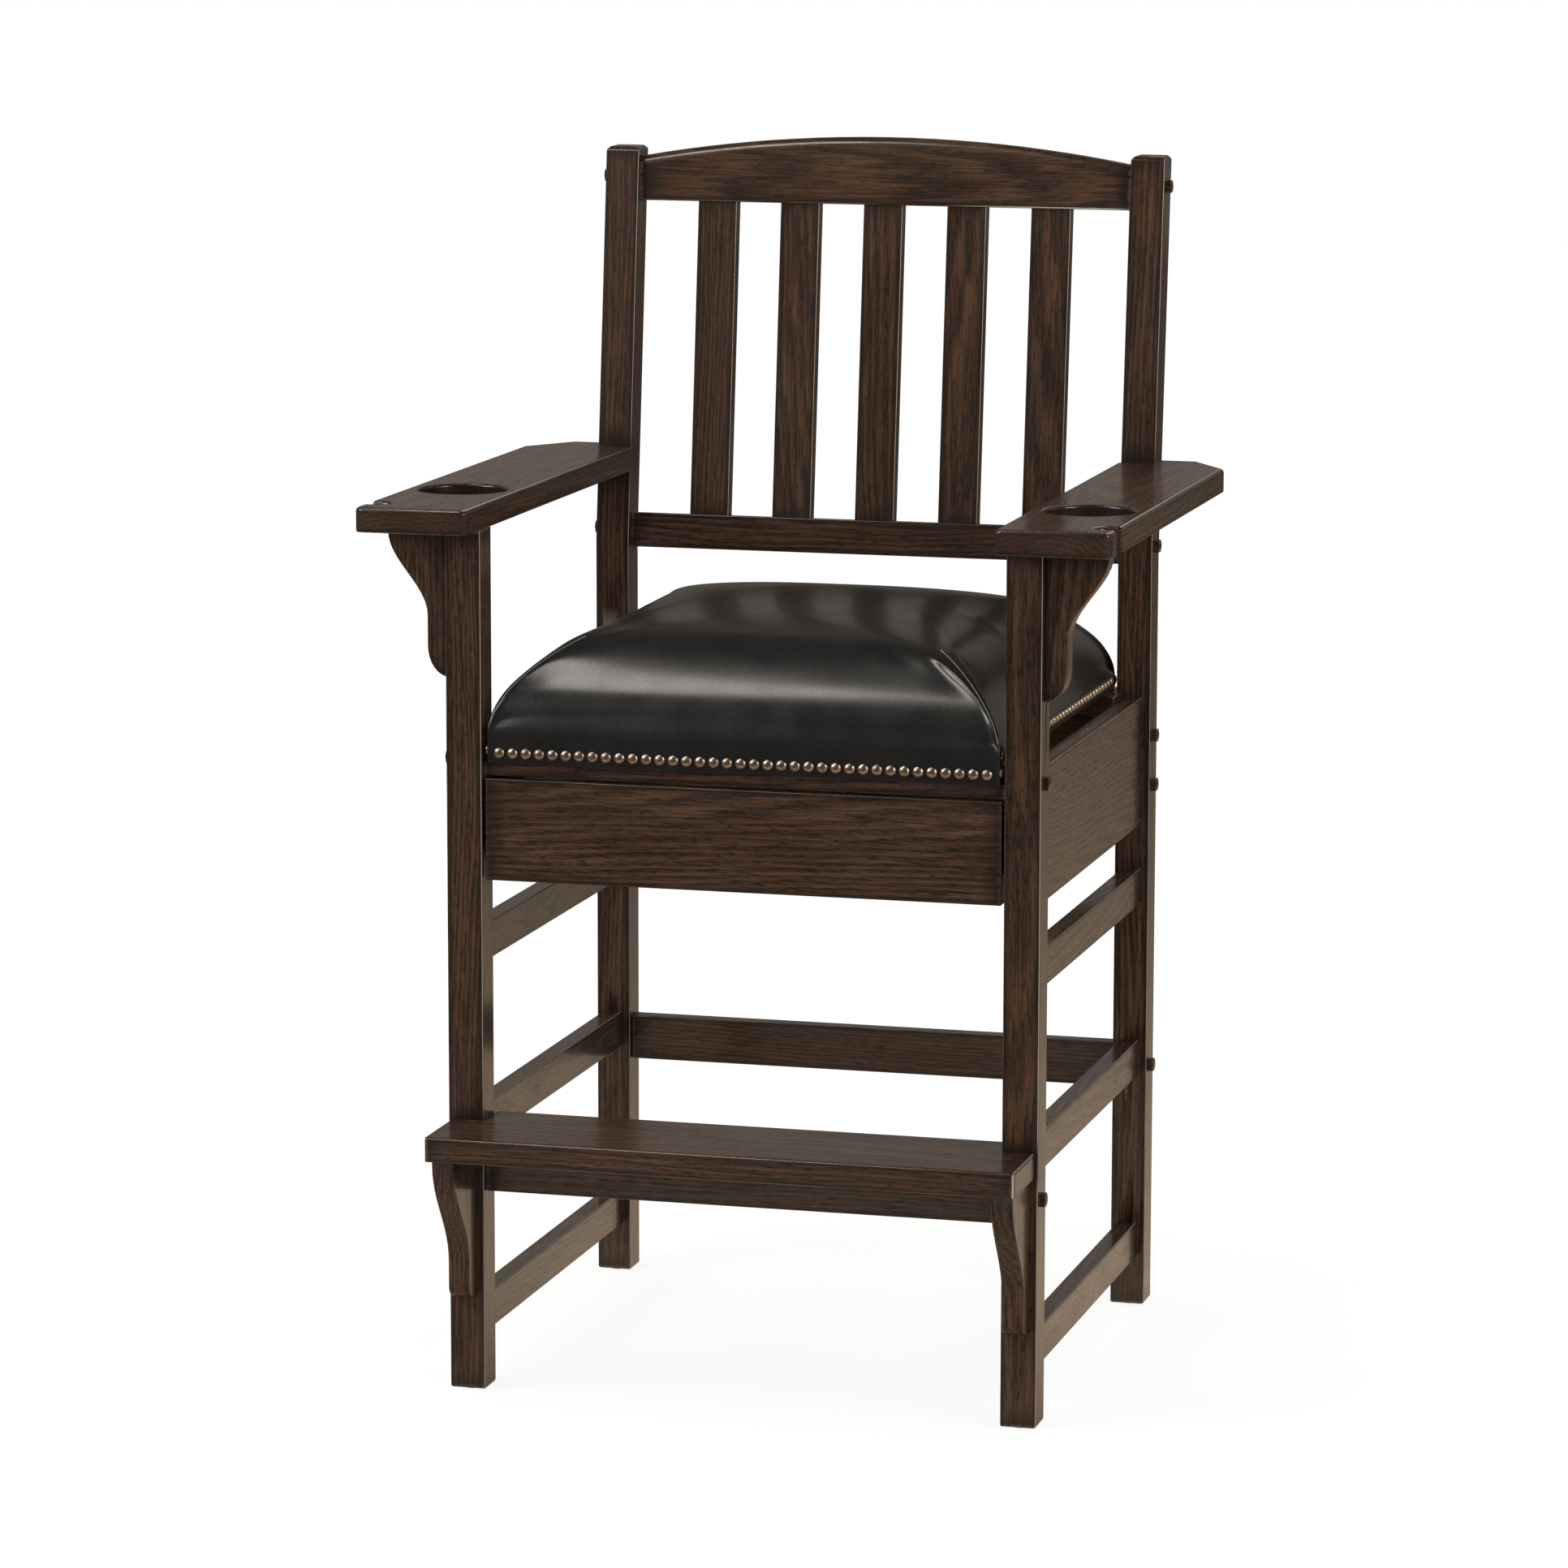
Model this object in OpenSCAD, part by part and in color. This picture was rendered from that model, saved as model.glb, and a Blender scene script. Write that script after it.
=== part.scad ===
// Tall spectator chair with a footrest, drink-holder arms, cue notches and a drawer under the seat.
// Lengths are in millimetres. X runs across the chair, Y from front to back, Z up.
// Sizes along Y are counted from the front faces of the front legs.

/* [Frame] */
// Width over the outer faces of the legs
chair_w = 602; // [560:1:640]
// Side of the square leg and post timber
leg_t = 36; // [32:1:44]
// Front face of the front legs to front face of the rear posts
leg_pitch = 514; // [480:1:560]
// Height of the rear posts
post_h = 1210; // [1180:1:1260]
// Height at which the rear posts bend backwards
kink_h = 798; // [770:1:820]
// Lean of the back above the bend, in degrees
lean_deg = 6; // [3:0.5:9]
// Thickness of the aprons, rails and stretchers
board_t = 20; // [16:1:22]
// Depth of the glue tenons on the side boards
tenon_l = 12; // [8:1:16]
// Gap left all round a glued or fitted piece in its socket
glue_gap = 0.1; // [0.05:0.05:0.3]

/* [Arms] */
// Height of the top face of the arms
arm_h = 895; // [870:1:920]
// Thickness of the arms
arm_t = 25; // [20:1:30]
// Width of the arms
arm_w = 115; // [108:1:130]
// How far the arms stand out in front of the legs
arm_front = 50; // [40:1:70]
// How far the inner edge of the arm stands inside the leg
arm_inset = 2; // [0:1:6]
// Radius of the drink hole
cup_r = 45; // [35:1:48]
// Distance of the drink hole behind the leg front
cup_y = 120; // [100:1:300]
// Width of the cue notch
notch_w = 25; // [18:1:30]
// Depth of the cue notch from the outer edge
notch_d = 24; // [20:1:40]
// Distance of the cue notch in front of the leg front
notch_front = 8; // [0:1:14]
// How far the clipped rear corner reaches along the outer edge
clip_l = 58; // [40:1:120]
// How far the clipped rear corner cuts in from the outer edge
clip_in = 39; // [20:1:40]
// Radius of the front corners of the arm
arm_corner_r = 8; // [3:1:12]

/* [Back] */
// Height of the crest rail at its ends
crest_h = 47; // [40:1:60]
// Rise of the crest rail's arch
crest_rise = 24; // [10:1:40]
// Distance of the crest rail's underside below the post top
crest_drop = 55; // [50:1:70]
// Height of the lower back rail
low_rail_h = 36; // [30:1:45]
// Underside of the lower back rail
low_rail_z = 790; // [780:1:800]
// Width of a back slat
slat_w = 42; // [30:1:50]
// Thickness of a back slat
slat_t = 16; // [10:1:18]
// Gap between the outer slats and the posts
slat_end = 64; // [40:1:80]
// Depth of the slat tenons
slat_tenon = 8; // [5:1:10]

/* [Rails and stretchers] */
// Height of the side aprons
apron_h = 134; // [125:1:145]
// Step of the side aprons' top below the seat board
apron_step = 6; // [2:1:12]
// Height of a side stretcher
stretcher_h = 38; // [30:1:44]
// Gap between a side apron and the upper side stretcher
upper_gap = 47; // [30:1:60]
// Top of the middle side stretcher
middle_top = 287; // [270:1:320]
// Top of the lower side stretcher
lower_top = 91; // [80:1:130]
// Height of the rear stretcher
rear_str_h = 47; // [40:1:55]
// Top of the rear stretcher
rear_str_top = 281; // [260:1:300]

/* [Footrest] */
// Height of the footrest's top face
foot_h = 278; // [265:1:290]
// Thickness of the footrest board
foot_t = 25; // [20:1:30]
// How far the footrest stands out in front of the legs
foot_front = 90; // [80:1:110]
// How far the footrest board reaches behind the leg front
foot_back = 46; // [40:1:60]
// Step of the footrest's ends inside the leg faces
foot_end = 3; // [0:1:6]
// Height of the rail under the footrest
foot_rail_h = 49; // [40:1:60]
// Thickness of the ogee corbels under the footrest
foot_corbel_t = 22; // [18:1:26]
// Height of the ogee corbels under the footrest
foot_corbel_h = 156; // [130:1:170]
// Reach of the ogee corbels under the footrest
foot_corbel_l = 78; // [70:1:79]

/* [Arm corbels] */
// Thickness of the ogee corbels under the arms
arm_corbel_t = 24; // [18:1:26]
// Height of the ogee corbels under the arms
arm_corbel_h = 149; // [130:1:170]
// Reach of the ogee corbels under the arms
arm_corbel_l = 63; // [55:1:64]
// Distance of the arm corbels behind the leg front
arm_corbel_y = 11; // [8:1:12]

/* [Seat] */
// Underside of the seat board
seat_z = 657; // [640:1:680]
// Thickness of the seat board
seat_board_t = 12; // [10:1:15]
// Gap between the seat and the legs
seat_gap = 5; // [4:1:8]
// Height of the crown above the seat board
crown_h = 113; // [60:1:140]
// Thickness of the leather
leather_t = 1.6; // [1.2:0.1:2.5]
// How far the leather hangs below the seat board in front
skirt_h = 18; // [16:1:22]
// Step of the seat's back edge in front of the rear apron's back face
seat_back_step = 8; // [6:1:14]
// How far the skirt turns back past the front rail's face
skirt_return = 6; // [4:0.5:6]
// Radius of a nailhead
nail_r = 5.6; // [4:0.1:5.7]
// Distance between nailheads along the front
nail_step = 13.72; // [13:0.01:16]
// Distance between nailheads along the sides
nail_side_step = 14.2; // [13:0.1:16]

/* [Drawer] */
// Height of the drawer front
drawer_h = 102; // [90:1:104]
// Thickness of the drawer front
drawer_front_t = 18; // [15:1:20]
// Gap at each end of the drawer front
drawer_gap = 3; // [2:0.5:5]
// Gap above the drawer front
drawer_top_gap = 2; // [1.5:0.5:4]
// Height of the drawer front's underside above that of the aprons
drawer_lift = 4; // [2:0.5:8]
// Step of the drawer front behind the leg front
drawer_step = 2; // [0:0.5:5]
// Depth of the drawer box behind its front
drawer_l = 380; // [340:1:420]
// Height of the drawer sides
drawer_side_h = 75; // [65:1:80]
// Thickness of the drawer sides
drawer_side_t = 12; // [10:1:15]
// Thickness of the drawer bottom
drawer_bottom_t = 6; // [4:1:8]
// Length of the drawer slides
slide_l = 360; // [300:1:380]

/* [Fasteners] */
// Side of the square bolt plugs
plug_w = 12.5; // [12:0.5:18]
// How far the bolt plugs stand out
plug_out = 6; // [1:0.5:8]
// Radius of the connector bolts
bolt_r = 3; // [2.5:0.5:4]
// Length of the connector bolts
bolt_l = 60; // [50:1:80]
// Radius of the wooden dowels
dowel_r = 4; // [3:0.5:5]
// Length of the wooden dowels
dowel_l = 30; // [24:1:36]
// Radius of the floor glides
glide_r = 11; // [8:1:14]
// Height that the floor glides lift the legs
glide_out = 1.5; // [1:0.5:3]

/* [Hidden] */
$fn = 64;

wood = "#3a2a21";
board_pale = "#b08c5c";
leather = "#1f1e1d";
foam = "#d9cda6";
brass = "#927a5b";
steel = "#a3a5a7";
nylon = "#26262a";

// Faces of the frame
leg_out = chair_w / 2;
leg_in = leg_out - leg_t;
leg_mid = leg_out - leg_t / 2;
rail_step = (leg_t - board_t) / 2;
board_out = leg_out - rail_step;
board_in = board_out - board_t;
lean_run = (post_h - kink_h) * tan(lean_deg);
arm_z = arm_h - arm_t;
foot_z = foot_h - foot_t;
back_y = leg_pitch + lean_run + leg_t;
mid_y = (back_y - foot_front) / 2;
apron_top = seat_z - apron_step;
apron_z = apron_top - apron_h;
upper_top = apron_z - upper_gap;
drawer_low = apron_z + drawer_lift;
drawer_top = drawer_low + drawer_h;
rail_low = drawer_top + drawer_top_gap;
cut = 1;

function post_y(z) = leg_pitch + max(0, z - kink_h) * tan(lean_deg);
function arc(c, r, a, b, n) = [for (i = [0:n]) c + r * [cos(a + (b - a) * i / n), sin(a + (b - a) * i / n)]];

// Stands the chair with the middle of its base on the origin
module placed() {
  translate([0, -mid_y, 0]) children();
}

// Right-hand pieces are drawn as they are, left-hand ones mirrored
module on_side(side) {
  if (side > 0) children();
  else mirror([1, 0, 0]) children();
}

// A profile given as Y and Z, pushed out along X
module along_x(x, length) {
  translate([x, 0, 0]) rotate([90, 0, 90]) linear_extrude(length) children();
}

// A profile given as X and Z, pushed out along Y
module along_y(y, length) {
  translate([0, y + length, 0]) rotate([90, 0, 0]) linear_extrude(length) children();
}

// The frame of the leaning back: Z runs up the posts from the bend
module leaning() {
  translate([0, leg_pitch, kink_h]) rotate([-lean_deg, 0, 0]) children();
}

// Heights and depths of the bolts that pull the cross boards to the legs. Two hold the rear apron,
// at these heights above its underside.
low_bolt = 40;
high_bolt = 92;
front_bolts = [[leg_t / 2, (seat_z + rail_low) / 2], [leg_t / 2, foot_z - foot_rail_h / 2]];
crest_z = post_h - crest_drop;
rear_bolt_z = [
  crest_z + crest_h / 2, low_rail_z + low_rail_h / 2, apron_z + high_bolt, apron_z + low_bolt,
  rear_str_top - rear_str_h / 2
];
rear_bolts = [for (z = rear_bolt_z) [post_y(z) + leg_t / 2, z]];
all_bolts = concat(front_bolts, rear_bolts);

plug_deep = 4;
head_r = 6;
head_t = 5;
socket_l = plug_deep + head_t;
nut_r = 5;
// A barrel nut is this much shorter than its board is thick
nut_short = 2;
nut_l = board_t - nut_short;
// The bolt passes the nut's axis by this much, and its hole runs on beyond its end
bolt_past = 8;
bolt_room = 5;
nut_x = leg_out - socket_l - bolt_l + bolt_past;

// Square sockets, counterbores and bolt holes for a list of bolts, cut from the right-hand leg
module bolt_holes(list) {
  for (b = list) translate([leg_out, b[0], b[1]]) rotate([0, -90, 0]) {
    translate([-plug_w / 2 - glue_gap, -plug_w / 2 - glue_gap, -cut])
      cube([plug_w + 2 * glue_gap, plug_w + 2 * glue_gap, plug_deep + cut]);
    translate([0, 0, -cut]) cylinder(r = head_r + glue_gap, h = socket_l + cut);
    translate([0, 0, -cut]) cylinder(r = bolt_r + glue_gap, h = leg_t + 2 * cut);
  }
}

// Bolt and barrel nut holes in both ends of a cross board
module board_end_holes(list) {
  for (side = [-1, 1]) on_side(side) for (b = list) {
    translate([leg_in + cut, b[0], b[1]]) rotate([0, -90, 0])
      cylinder(r = bolt_r + glue_gap, h = bolt_l + socket_l - leg_t + cut + bolt_room);
    translate([nut_x, b[0] - nut_l / 2 - glue_gap, b[1]]) rotate([-90, 0, 0])
      cylinder(r = nut_r + glue_gap, h = leg_t);
  }
}

// The side boards, each as its top and its height
side_boards = [
  [apron_top, apron_top - apron_z], [upper_top, stretcher_h], [middle_top, stretcher_h],
  [lower_top, stretcher_h]
];
tenon_t = board_t / 2;
tenon_drop = 6;

// Mortises for the side boards, cut from a leg whose inner face lies at y
module mortises(y) {
  for (b = side_boards)
    translate([leg_mid - tenon_t / 2 - glue_gap, y, b[0] - b[1] + tenon_drop - glue_gap])
      cube([tenon_t + 2 * glue_gap, tenon_l + glue_gap + cut, b[1] - 2 * tenon_drop + 2 * glue_gap]);
}

module side_board(side, b) {
  color(wood) placed() on_side(side) union() {
    translate([board_in, leg_t, b[0] - b[1]]) cube([board_t, leg_pitch - leg_t, b[1]]);
    translate([leg_mid - tenon_t / 2, leg_t - tenon_l, b[0] - b[1] + tenon_drop])
      cube([tenon_t, leg_pitch - leg_t + 2 * tenon_l, b[1] - 2 * tenon_drop]);
  }
}

// Dowels of the right-hand side, each as a middle point and a direction: X (0), Y (1) or Z (2)
pair = 9;
bracket_dowel_top = 34;
bracket_dowel_low = 44;
foot_dowel_mid = 60;
foot_dowel_end = 65;
arm_mid = leg_in - arm_inset + arm_w / 2;
arm_dowel_y = post_y(arm_z);
corbel_mid_y = arm_corbel_y + arm_corbel_t / 2;
arm_dowels = [
  for (x = [leg_mid - pair, leg_mid + pair]) [[x, leg_t / 2, arm_z], 2],
  for (x = [leg_mid - pair, leg_mid + pair]) [[x, arm_dowel_y, arm_h - arm_t / 2], 1],
  [[leg_out + arm_corbel_l / 2, corbel_mid_y, arm_z], 2]
];
arm_corbel_dowels = [for (d = [bracket_dowel_top, arm_corbel_h - bracket_dowel_low])
  [[leg_out, corbel_mid_y, arm_z - d], 0]];
foot_corbel_dowels = [for (d = [bracket_dowel_top, foot_corbel_h - bracket_dowel_low])
  [[leg_mid, 0, foot_z - d], 1]];
foot_dowels = [for (x = [foot_dowel_mid, leg_in - foot_dowel_end]) [[x, leg_t / 2, foot_z], 2]];
dowels = concat(arm_dowels, arm_corbel_dowels, foot_corbel_dowels, foot_dowels);

// Dowels, made wider and longer by grow where they are cut
module dowel_set(list, grow) {
  half = dowel_l / 2 + grow;
  for (d = list) translate(d[0])
    rotate(d[1] == 0 ? [0, 90, 0] : d[1] == 1 ? [-90, 0, 0] : [0, 0, 0])
      translate([0, 0, -half]) cylinder(r = dowel_r + grow, h = 2 * half);
}

// A glide's disc, let into the leg, and the pin that holds it, made wider by grow where it is cut
glide_sink = 2;
glide_pin_r = 2;
glide_pin_l = 17;
module glide(x, y, grow) {
  translate([x, y, 0]) cylinder(r = glide_r + grow, h = glide_out + glide_sink + grow);
  translate([x, y, glide_out]) cylinder(r = glide_pin_r + grow, h = glide_pin_l - glide_out + grow);
}

module front_leg(side) {
  color(wood) placed() on_side(side) difference() {
    translate([leg_in, 0, glide_out]) cube([leg_t, leg_t, arm_z - glide_out]);
    mortises(leg_t - tenon_l - glue_gap);
    bolt_holes(front_bolts);
    dowel_set(dowels, glue_gap);
    glide(leg_mid, leg_t / 2, glue_gap);
  }
}

// Outline of a rear post seen from the side, with its top edges eased
top_ease = 4;
module post_profile() {
  polygon([
    [leg_pitch, glide_out], [leg_pitch + leg_t, glide_out],
    [leg_pitch + leg_t, kink_h], [post_y(post_h - top_ease) + leg_t, post_h - top_ease],
    [post_y(post_h) + leg_t - top_ease, post_h], [post_y(post_h) + top_ease, post_h],
    [post_y(post_h - top_ease), post_h - top_ease], [leg_pitch, kink_h]
  ]);
}

module rear_post(side) {
  color(wood) placed() on_side(side) difference() {
    intersection() {
      along_x(leg_in, leg_t) post_profile();
      along_y(leg_pitch - cut, back_y - leg_pitch + 2 * cut) polygon([
        [leg_in, 0], [leg_out, 0], [leg_out, post_h - top_ease], [leg_out - top_ease, post_h],
        [leg_in + top_ease, post_h], [leg_in, post_h - top_ease]
      ]);
    }
    mortises(leg_pitch - cut);
    bolt_holes(rear_bolts);
    dowel_set(arm_dowels, glue_gap);
    glide(leg_mid, leg_pitch + leg_t / 2, glue_gap);
  }
}

// Slats run from the lower rail to the crest rail, in the leaning frame
slat_n = 5;
slat_step = (2 * leg_in - 2 * slat_end - slat_w) / (slat_n - 1);
slat_from = (low_rail_z + low_rail_h - kink_h) / cos(lean_deg);
slat_to = (crest_z - kink_h) / cos(lean_deg);
slat_y = rail_step + (board_t - slat_t) / 2;

module slat(i, grow) {
  x = (i - (slat_n - 1) / 2) * slat_step;
  leaning() translate([x - slat_w / 2 - grow, slat_y - grow, slat_from - slat_tenon - grow])
    cube([slat_w + 2 * grow, slat_t + 2 * grow, slat_to - slat_from + 2 * slat_tenon + 2 * grow]);
}

module back_slat(i) {
  color(wood) placed() slat(i, 0);
}

module crest_rail() {
  arch_r = (leg_in * leg_in + crest_rise * crest_rise) / (2 * crest_rise);
  top = slat_to + crest_h;
  color(wood) placed() difference() {
    leaning() intersection() {
      translate([-leg_in, rail_step, slat_to]) cube([2 * leg_in, board_t, crest_h + crest_rise]);
      translate([0, -cut, top + crest_rise - arch_r]) rotate([-90, 0, 0])
        cylinder(r = arch_r, h = leg_t + 2 * cut, $fn = 256);
    }
    for (i = [0:slat_n - 1]) slat(i, glue_gap);
    board_end_holes([rear_bolts[0]]);
  }
}

module lower_back_rail() {
  low = (low_rail_z - kink_h) / cos(lean_deg);
  color(wood) placed() difference() {
    leaning() translate([-leg_in, rail_step, low]) cube([2 * leg_in, board_t, slat_from - low]);
    for (i = [0:slat_n - 1]) slat(i, glue_gap);
    board_end_holes([rear_bolts[1]]);
  }
}

// Plan of the right arm: rounded front, cue notch, clipped rear corner, cut away round the post
arm_in = leg_in - arm_inset;
arm_out = arm_in + arm_w;
arm_back = post_y(arm_h) + leg_t;
notch_r = notch_w / 2;
module arm_plan() {
  polygon(concat(
    arc([arm_in + arm_corner_r, arm_corner_r - arm_front], arm_corner_r, 180, 270, 6),
    arc([arm_out - arm_corner_r, arm_corner_r - arm_front], arm_corner_r, 270, 360, 6),
    [[arm_out, -notch_front - notch_r]],
    arc([arm_out - notch_d + notch_r, -notch_front], notch_r, 270, 90, 12),
    [[arm_out, notch_r - notch_front]],
    [[arm_out, arm_back - clip_l], [arm_out - clip_in, arm_back]],
    [[leg_out, arm_back], [leg_out, post_y(arm_h)], [arm_in, post_y(arm_h)]]
  ));
}

module arm(side) {
  color(wood) placed() on_side(side) difference() {
    translate([0, 0, arm_z]) linear_extrude(arm_t) arm_plan();
    translate([arm_mid, cup_y, arm_z - cut]) cylinder(r = cup_r, h = arm_t + 2 * cut);
    along_x(arm_in - cut, leg_out - arm_in + cut) post_profile();
    dowel_set(arm_dowels, glue_gap);
  }
}

// Ogee bracket, reach l and height h, hanging from its top corner: a short straight end, an S-shaped
// sweep down to a straight neck at the depth sweep, and a rounded toe
straight = 5;
module ogee(l, h, neck, sweep, toe) {
  polygon(concat(
    [[0, 0], [l, 0]],
    [for (i = [0:12]) let (u = i / 12)
      [neck + (l - neck) * (1 + cos(180 * u)) / 2, -straight - (sweep - straight) * u]],
    [for (i = [0:8]) let (a = 90 * i / 8) [neck * cos(a), -h + toe - toe * sin(a)]]
  ));
}

arm_neck = 22.5;
arm_sweep = 88;
arm_toe = 31;
module arm_corbel(side) {
  color(wood) placed() on_side(side) difference() {
    translate([leg_out, 0, arm_z]) along_y(arm_corbel_y, arm_corbel_t)
      ogee(arm_corbel_l, arm_corbel_h, arm_neck, arm_sweep, arm_toe);
    dowel_set(concat(arm_dowels, arm_corbel_dowels), glue_gap);
  }
}

foot_neck = 27;
foot_sweep = 116;
foot_toe = 14;
module foot_corbel(side) {
  color(wood) placed() on_side(side) difference() {
    translate([leg_mid - foot_corbel_t / 2, 0, foot_z]) mirror([0, 1, 0])
      along_x(0, foot_corbel_t) ogee(foot_corbel_l, foot_corbel_h, foot_neck, foot_sweep, foot_toe);
    dowel_set(foot_corbel_dowels, glue_gap);
  }
}

// A board from leg to leg with its bolt holes
module cross_board(y, low, high, list) {
  color(wood) placed() difference() {
    translate([-leg_in, y + rail_step, low]) cube([2 * leg_in, board_t, high - low]);
    board_end_holes(list);
  }
}

module rear_apron() {
  cross_board(leg_pitch, apron_z, seat_z, [rear_bolts[2], rear_bolts[3]]);
}

// The front rail is cut back at its upper corners, where the seat's skirt turns round
module front_seat_rail() {
  difference() {
    cross_board(0, rail_low, seat_z, [front_bolts[0]]);
    placed() for (side = [-1, 1]) on_side(side)
      translate([seat_w - ear_t - glue_gap, 0, seat_z - skirt_h - 2 * glue_gap])
        cube([leg_in, skirt_back + glue_gap, skirt_h + cut]);
  }
}

module rear_stretcher() {
  cross_board(leg_pitch, rear_str_top - rear_str_h, rear_str_top, [rear_bolts[4]]);
}

module foot_rail() {
  difference() {
    cross_board(0, foot_z - foot_rail_h, foot_z, [front_bolts[1]]);
    placed() for (side = [-1, 1]) on_side(side) dowel_set(foot_dowels, glue_gap);
  }
}

module footrest_board() {
  end_x = leg_out - foot_end;
  color(wood) placed() difference() {
    translate([0, 0, foot_z]) linear_extrude(foot_t) polygon([
      [-end_x, -foot_front], [end_x, -foot_front], [end_x, 0], [leg_in, 0], [leg_in, foot_back],
      [-leg_in, foot_back], [-leg_in, 0], [-end_x, 0]
    ]);
    for (side = [-1, 1]) on_side(side) dowel_set(foot_dowels, glue_gap);
  }
}

// Blocks glued across the inside corners, under the seat board
block_l = 60;
block_h = 24;
rail_back = rail_step + board_t;
module corner_blocks() {
  front = [
    [leg_in - block_l, rail_back], [leg_in, rail_back], [leg_in, leg_t],
    [board_in, leg_t], [board_in, rail_back + block_l]
  ];
  color(wood) placed() for (side = [-1, 1]) on_side(side) difference() {
    translate([0, 0, seat_z - block_h]) linear_extrude(block_h) {
      polygon(front);
      translate([0, leg_pitch + leg_t, 0]) mirror([0, 1, 0]) polygon(front);
    }
    seat_screw_holes();
  }
}

// Screws that rise through the corner blocks into the seat board
screw_r = 2;
screw_head_r = 4;
screw_head_t = 3;
screw_short = 3;
screw_in = 22;
screw_behind = 16;
screw_x = leg_in - screw_in;
screw_ys = [rail_back + screw_behind, leg_pitch + leg_t - rail_back - screw_behind];
module seat_screw(x, y, grow) {
  open = grow > 0 ? cut : 0;
  low = seat_z - block_h;
  translate([x, y, low]) cylinder(r = screw_r + grow, h = block_h + seat_board_t - screw_short);
  translate([x, y, low - open]) cylinder(r = screw_head_r + grow, h = screw_head_t + grow + open);
}

module seat_screw_holes() {
  for (y = screw_ys) seat_screw(screw_x, y, glue_gap);
}

module seat_screws() {
  color(steel) placed() for (side = [-1, 1]) on_side(side) for (y = screw_ys) seat_screw(screw_x, y, 0);
}

// Outline of the seat, and the leather's corner radius, which keeps it in front of the front rail
seat_w = leg_in - seat_gap;
seat_front = drawer_step;
seat_back = leg_pitch + leg_t - rail_step - seat_back_step;
seat_top = seat_z + seat_board_t;
seat_mid_y = (seat_front + seat_back) / 2;
seat_d = (seat_back - seat_front) / 2;
skirt_back = rail_step + skirt_return;
corner_r = 3;

// The seat board and the strip that carries the leather down over the front rail. Both fit inside
// the leather, and the strip has an ear at each end where the leather turns the corner.
lip_short = 2;
ear_t = 8;
module inside_leather(from, to, low, high) {
  t = leather_t + glue_gap;
  intersection() {
    translate([0, 0, low]) linear_extrude(high - low) translate([0, seat_mid_y])
      polygon(ring(seat_w - t, seat_d - t, max(0.5, corner_r - t), 0));
    translate([-leg_in, from, low]) cube([2 * leg_in, to - from, high - low]);
  }
}

module seat_board() {
  color(board_pale) placed() difference() {
    inside_leather(rail_step, seat_back, seat_z, seat_top);
    for (side = [-1, 1]) on_side(side) seat_screw_holes();
    nail_holes();
  }
}

module seat_lip() {
  low = seat_z - skirt_h + lip_short;
  color(board_pale) placed() difference() {
    union() {
      inside_leather(seat_front, rail_step, low, seat_top);
      intersection() {
        inside_leather(seat_front, skirt_back - glue_gap, low, seat_z);
        for (side = [-1, 1]) on_side(side)
          translate([seat_w - ear_t, 0, low]) cube([ear_t, skirt_back, skirt_h]);
      }
    }
    nail_holes();
  }
}

// The crowned seat is built from level rings: a rounded rectangle that steps inwards as it climbs
wall_rise = 2;
crown_full = 2.7;
crown_round = 0.5;
side_z = seat_top + wall_rise;
corner_n = 3;
side_n = 7;
ring_n = 4 * (corner_n + side_n);
function crown_z(s) = side_z
  + (crown_h - wall_rise) * pow(1 - pow(1 - min(1, s / seat_w), crown_full), crown_round);
function ring_r(s) = min(corner_r + 0.3 * s, 0.45 * (seat_w - s));

// Distances along a side of length l. Those near its ends mark where the skirt stops.
skirt_step = 0.2;
function marks(l, r) = let (e = min(skirt_back - seat_front - r - skirt_step, l / 5))
  [0, e, e + skirt_step, l / 3, 2 * l / 3, l - e - skirt_step, l - e];

// One quarter of a ring: the corner's arc, then the side that follows it, drawn in by bow
function corner(w, d, r, q, bow) = let (
    sx = [1, -1, -1, 1][q], sy = [1, 1, -1, -1][q],
    c = [sx * (w - r), sy * (d - r)],
    nx = [-1, -1, 1, 1][q], ny = [1, -1, -1, 1][q],
    from = c + r * [cos(90 * q + 90), sin(90 * q + 90)],
    to = [nx * (w - r), ny * (d - r)] + r * [cos(90 * q + 90), sin(90 * q + 90)],
    away = [cos(90 * q + 90), sin(90 * q + 90)],
    l = norm(to - from)
  ) concat(
    [for (i = [0:corner_n - 1]) c + r * [cos(90 * (q + i / corner_n)), sin(90 * (q + i / corner_n))]],
    [for (m = marks(l, corner_r)) let (u = m / l) from + (to - from) * u - away * bow * sin(180 * u)]
  );
function ring(w, d, r, bow) = [for (q = [0:3]) each corner(w, d, r, q, bow)];
function level(s, z, t, bow) = [for (p = ring(seat_w - s - t, seat_d - s - t, max(1, ring_r(s) - t), bow))
    [p[0], p[1] + seat_mid_y, z]];
// The lowest ring hangs further down in front, where the leather covers the lip
hem_rise = 1;
function hem(t) = [for (p = level(0, 0, t, 0))
    [p[0], p[1], p[1] < skirt_back - skirt_step / 2 ? seat_z - skirt_h : seat_z + hem_rise]];

crown_steps = [1.5, 5, 11, 20, 34, 54, 80, 115, 155, 195, 232];
side_bow = 1.5;
function outer_levels() = concat(
    [hem(0), level(0, seat_top, 0, 0), level(0, side_z, 0, side_bow)],
    [for (s = crown_steps) level(s, crown_z(s), 0, side_bow * (1 - s / seat_w))]
  );
function inner_levels(t) = concat(
    [level(0, seat_top, t, 0)],
    [for (s = [for (i = [1:2:len(crown_steps) - 1]) crown_steps[i]]) level(s, crown_z(s) - t, t, side_bow)]
  );

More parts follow.
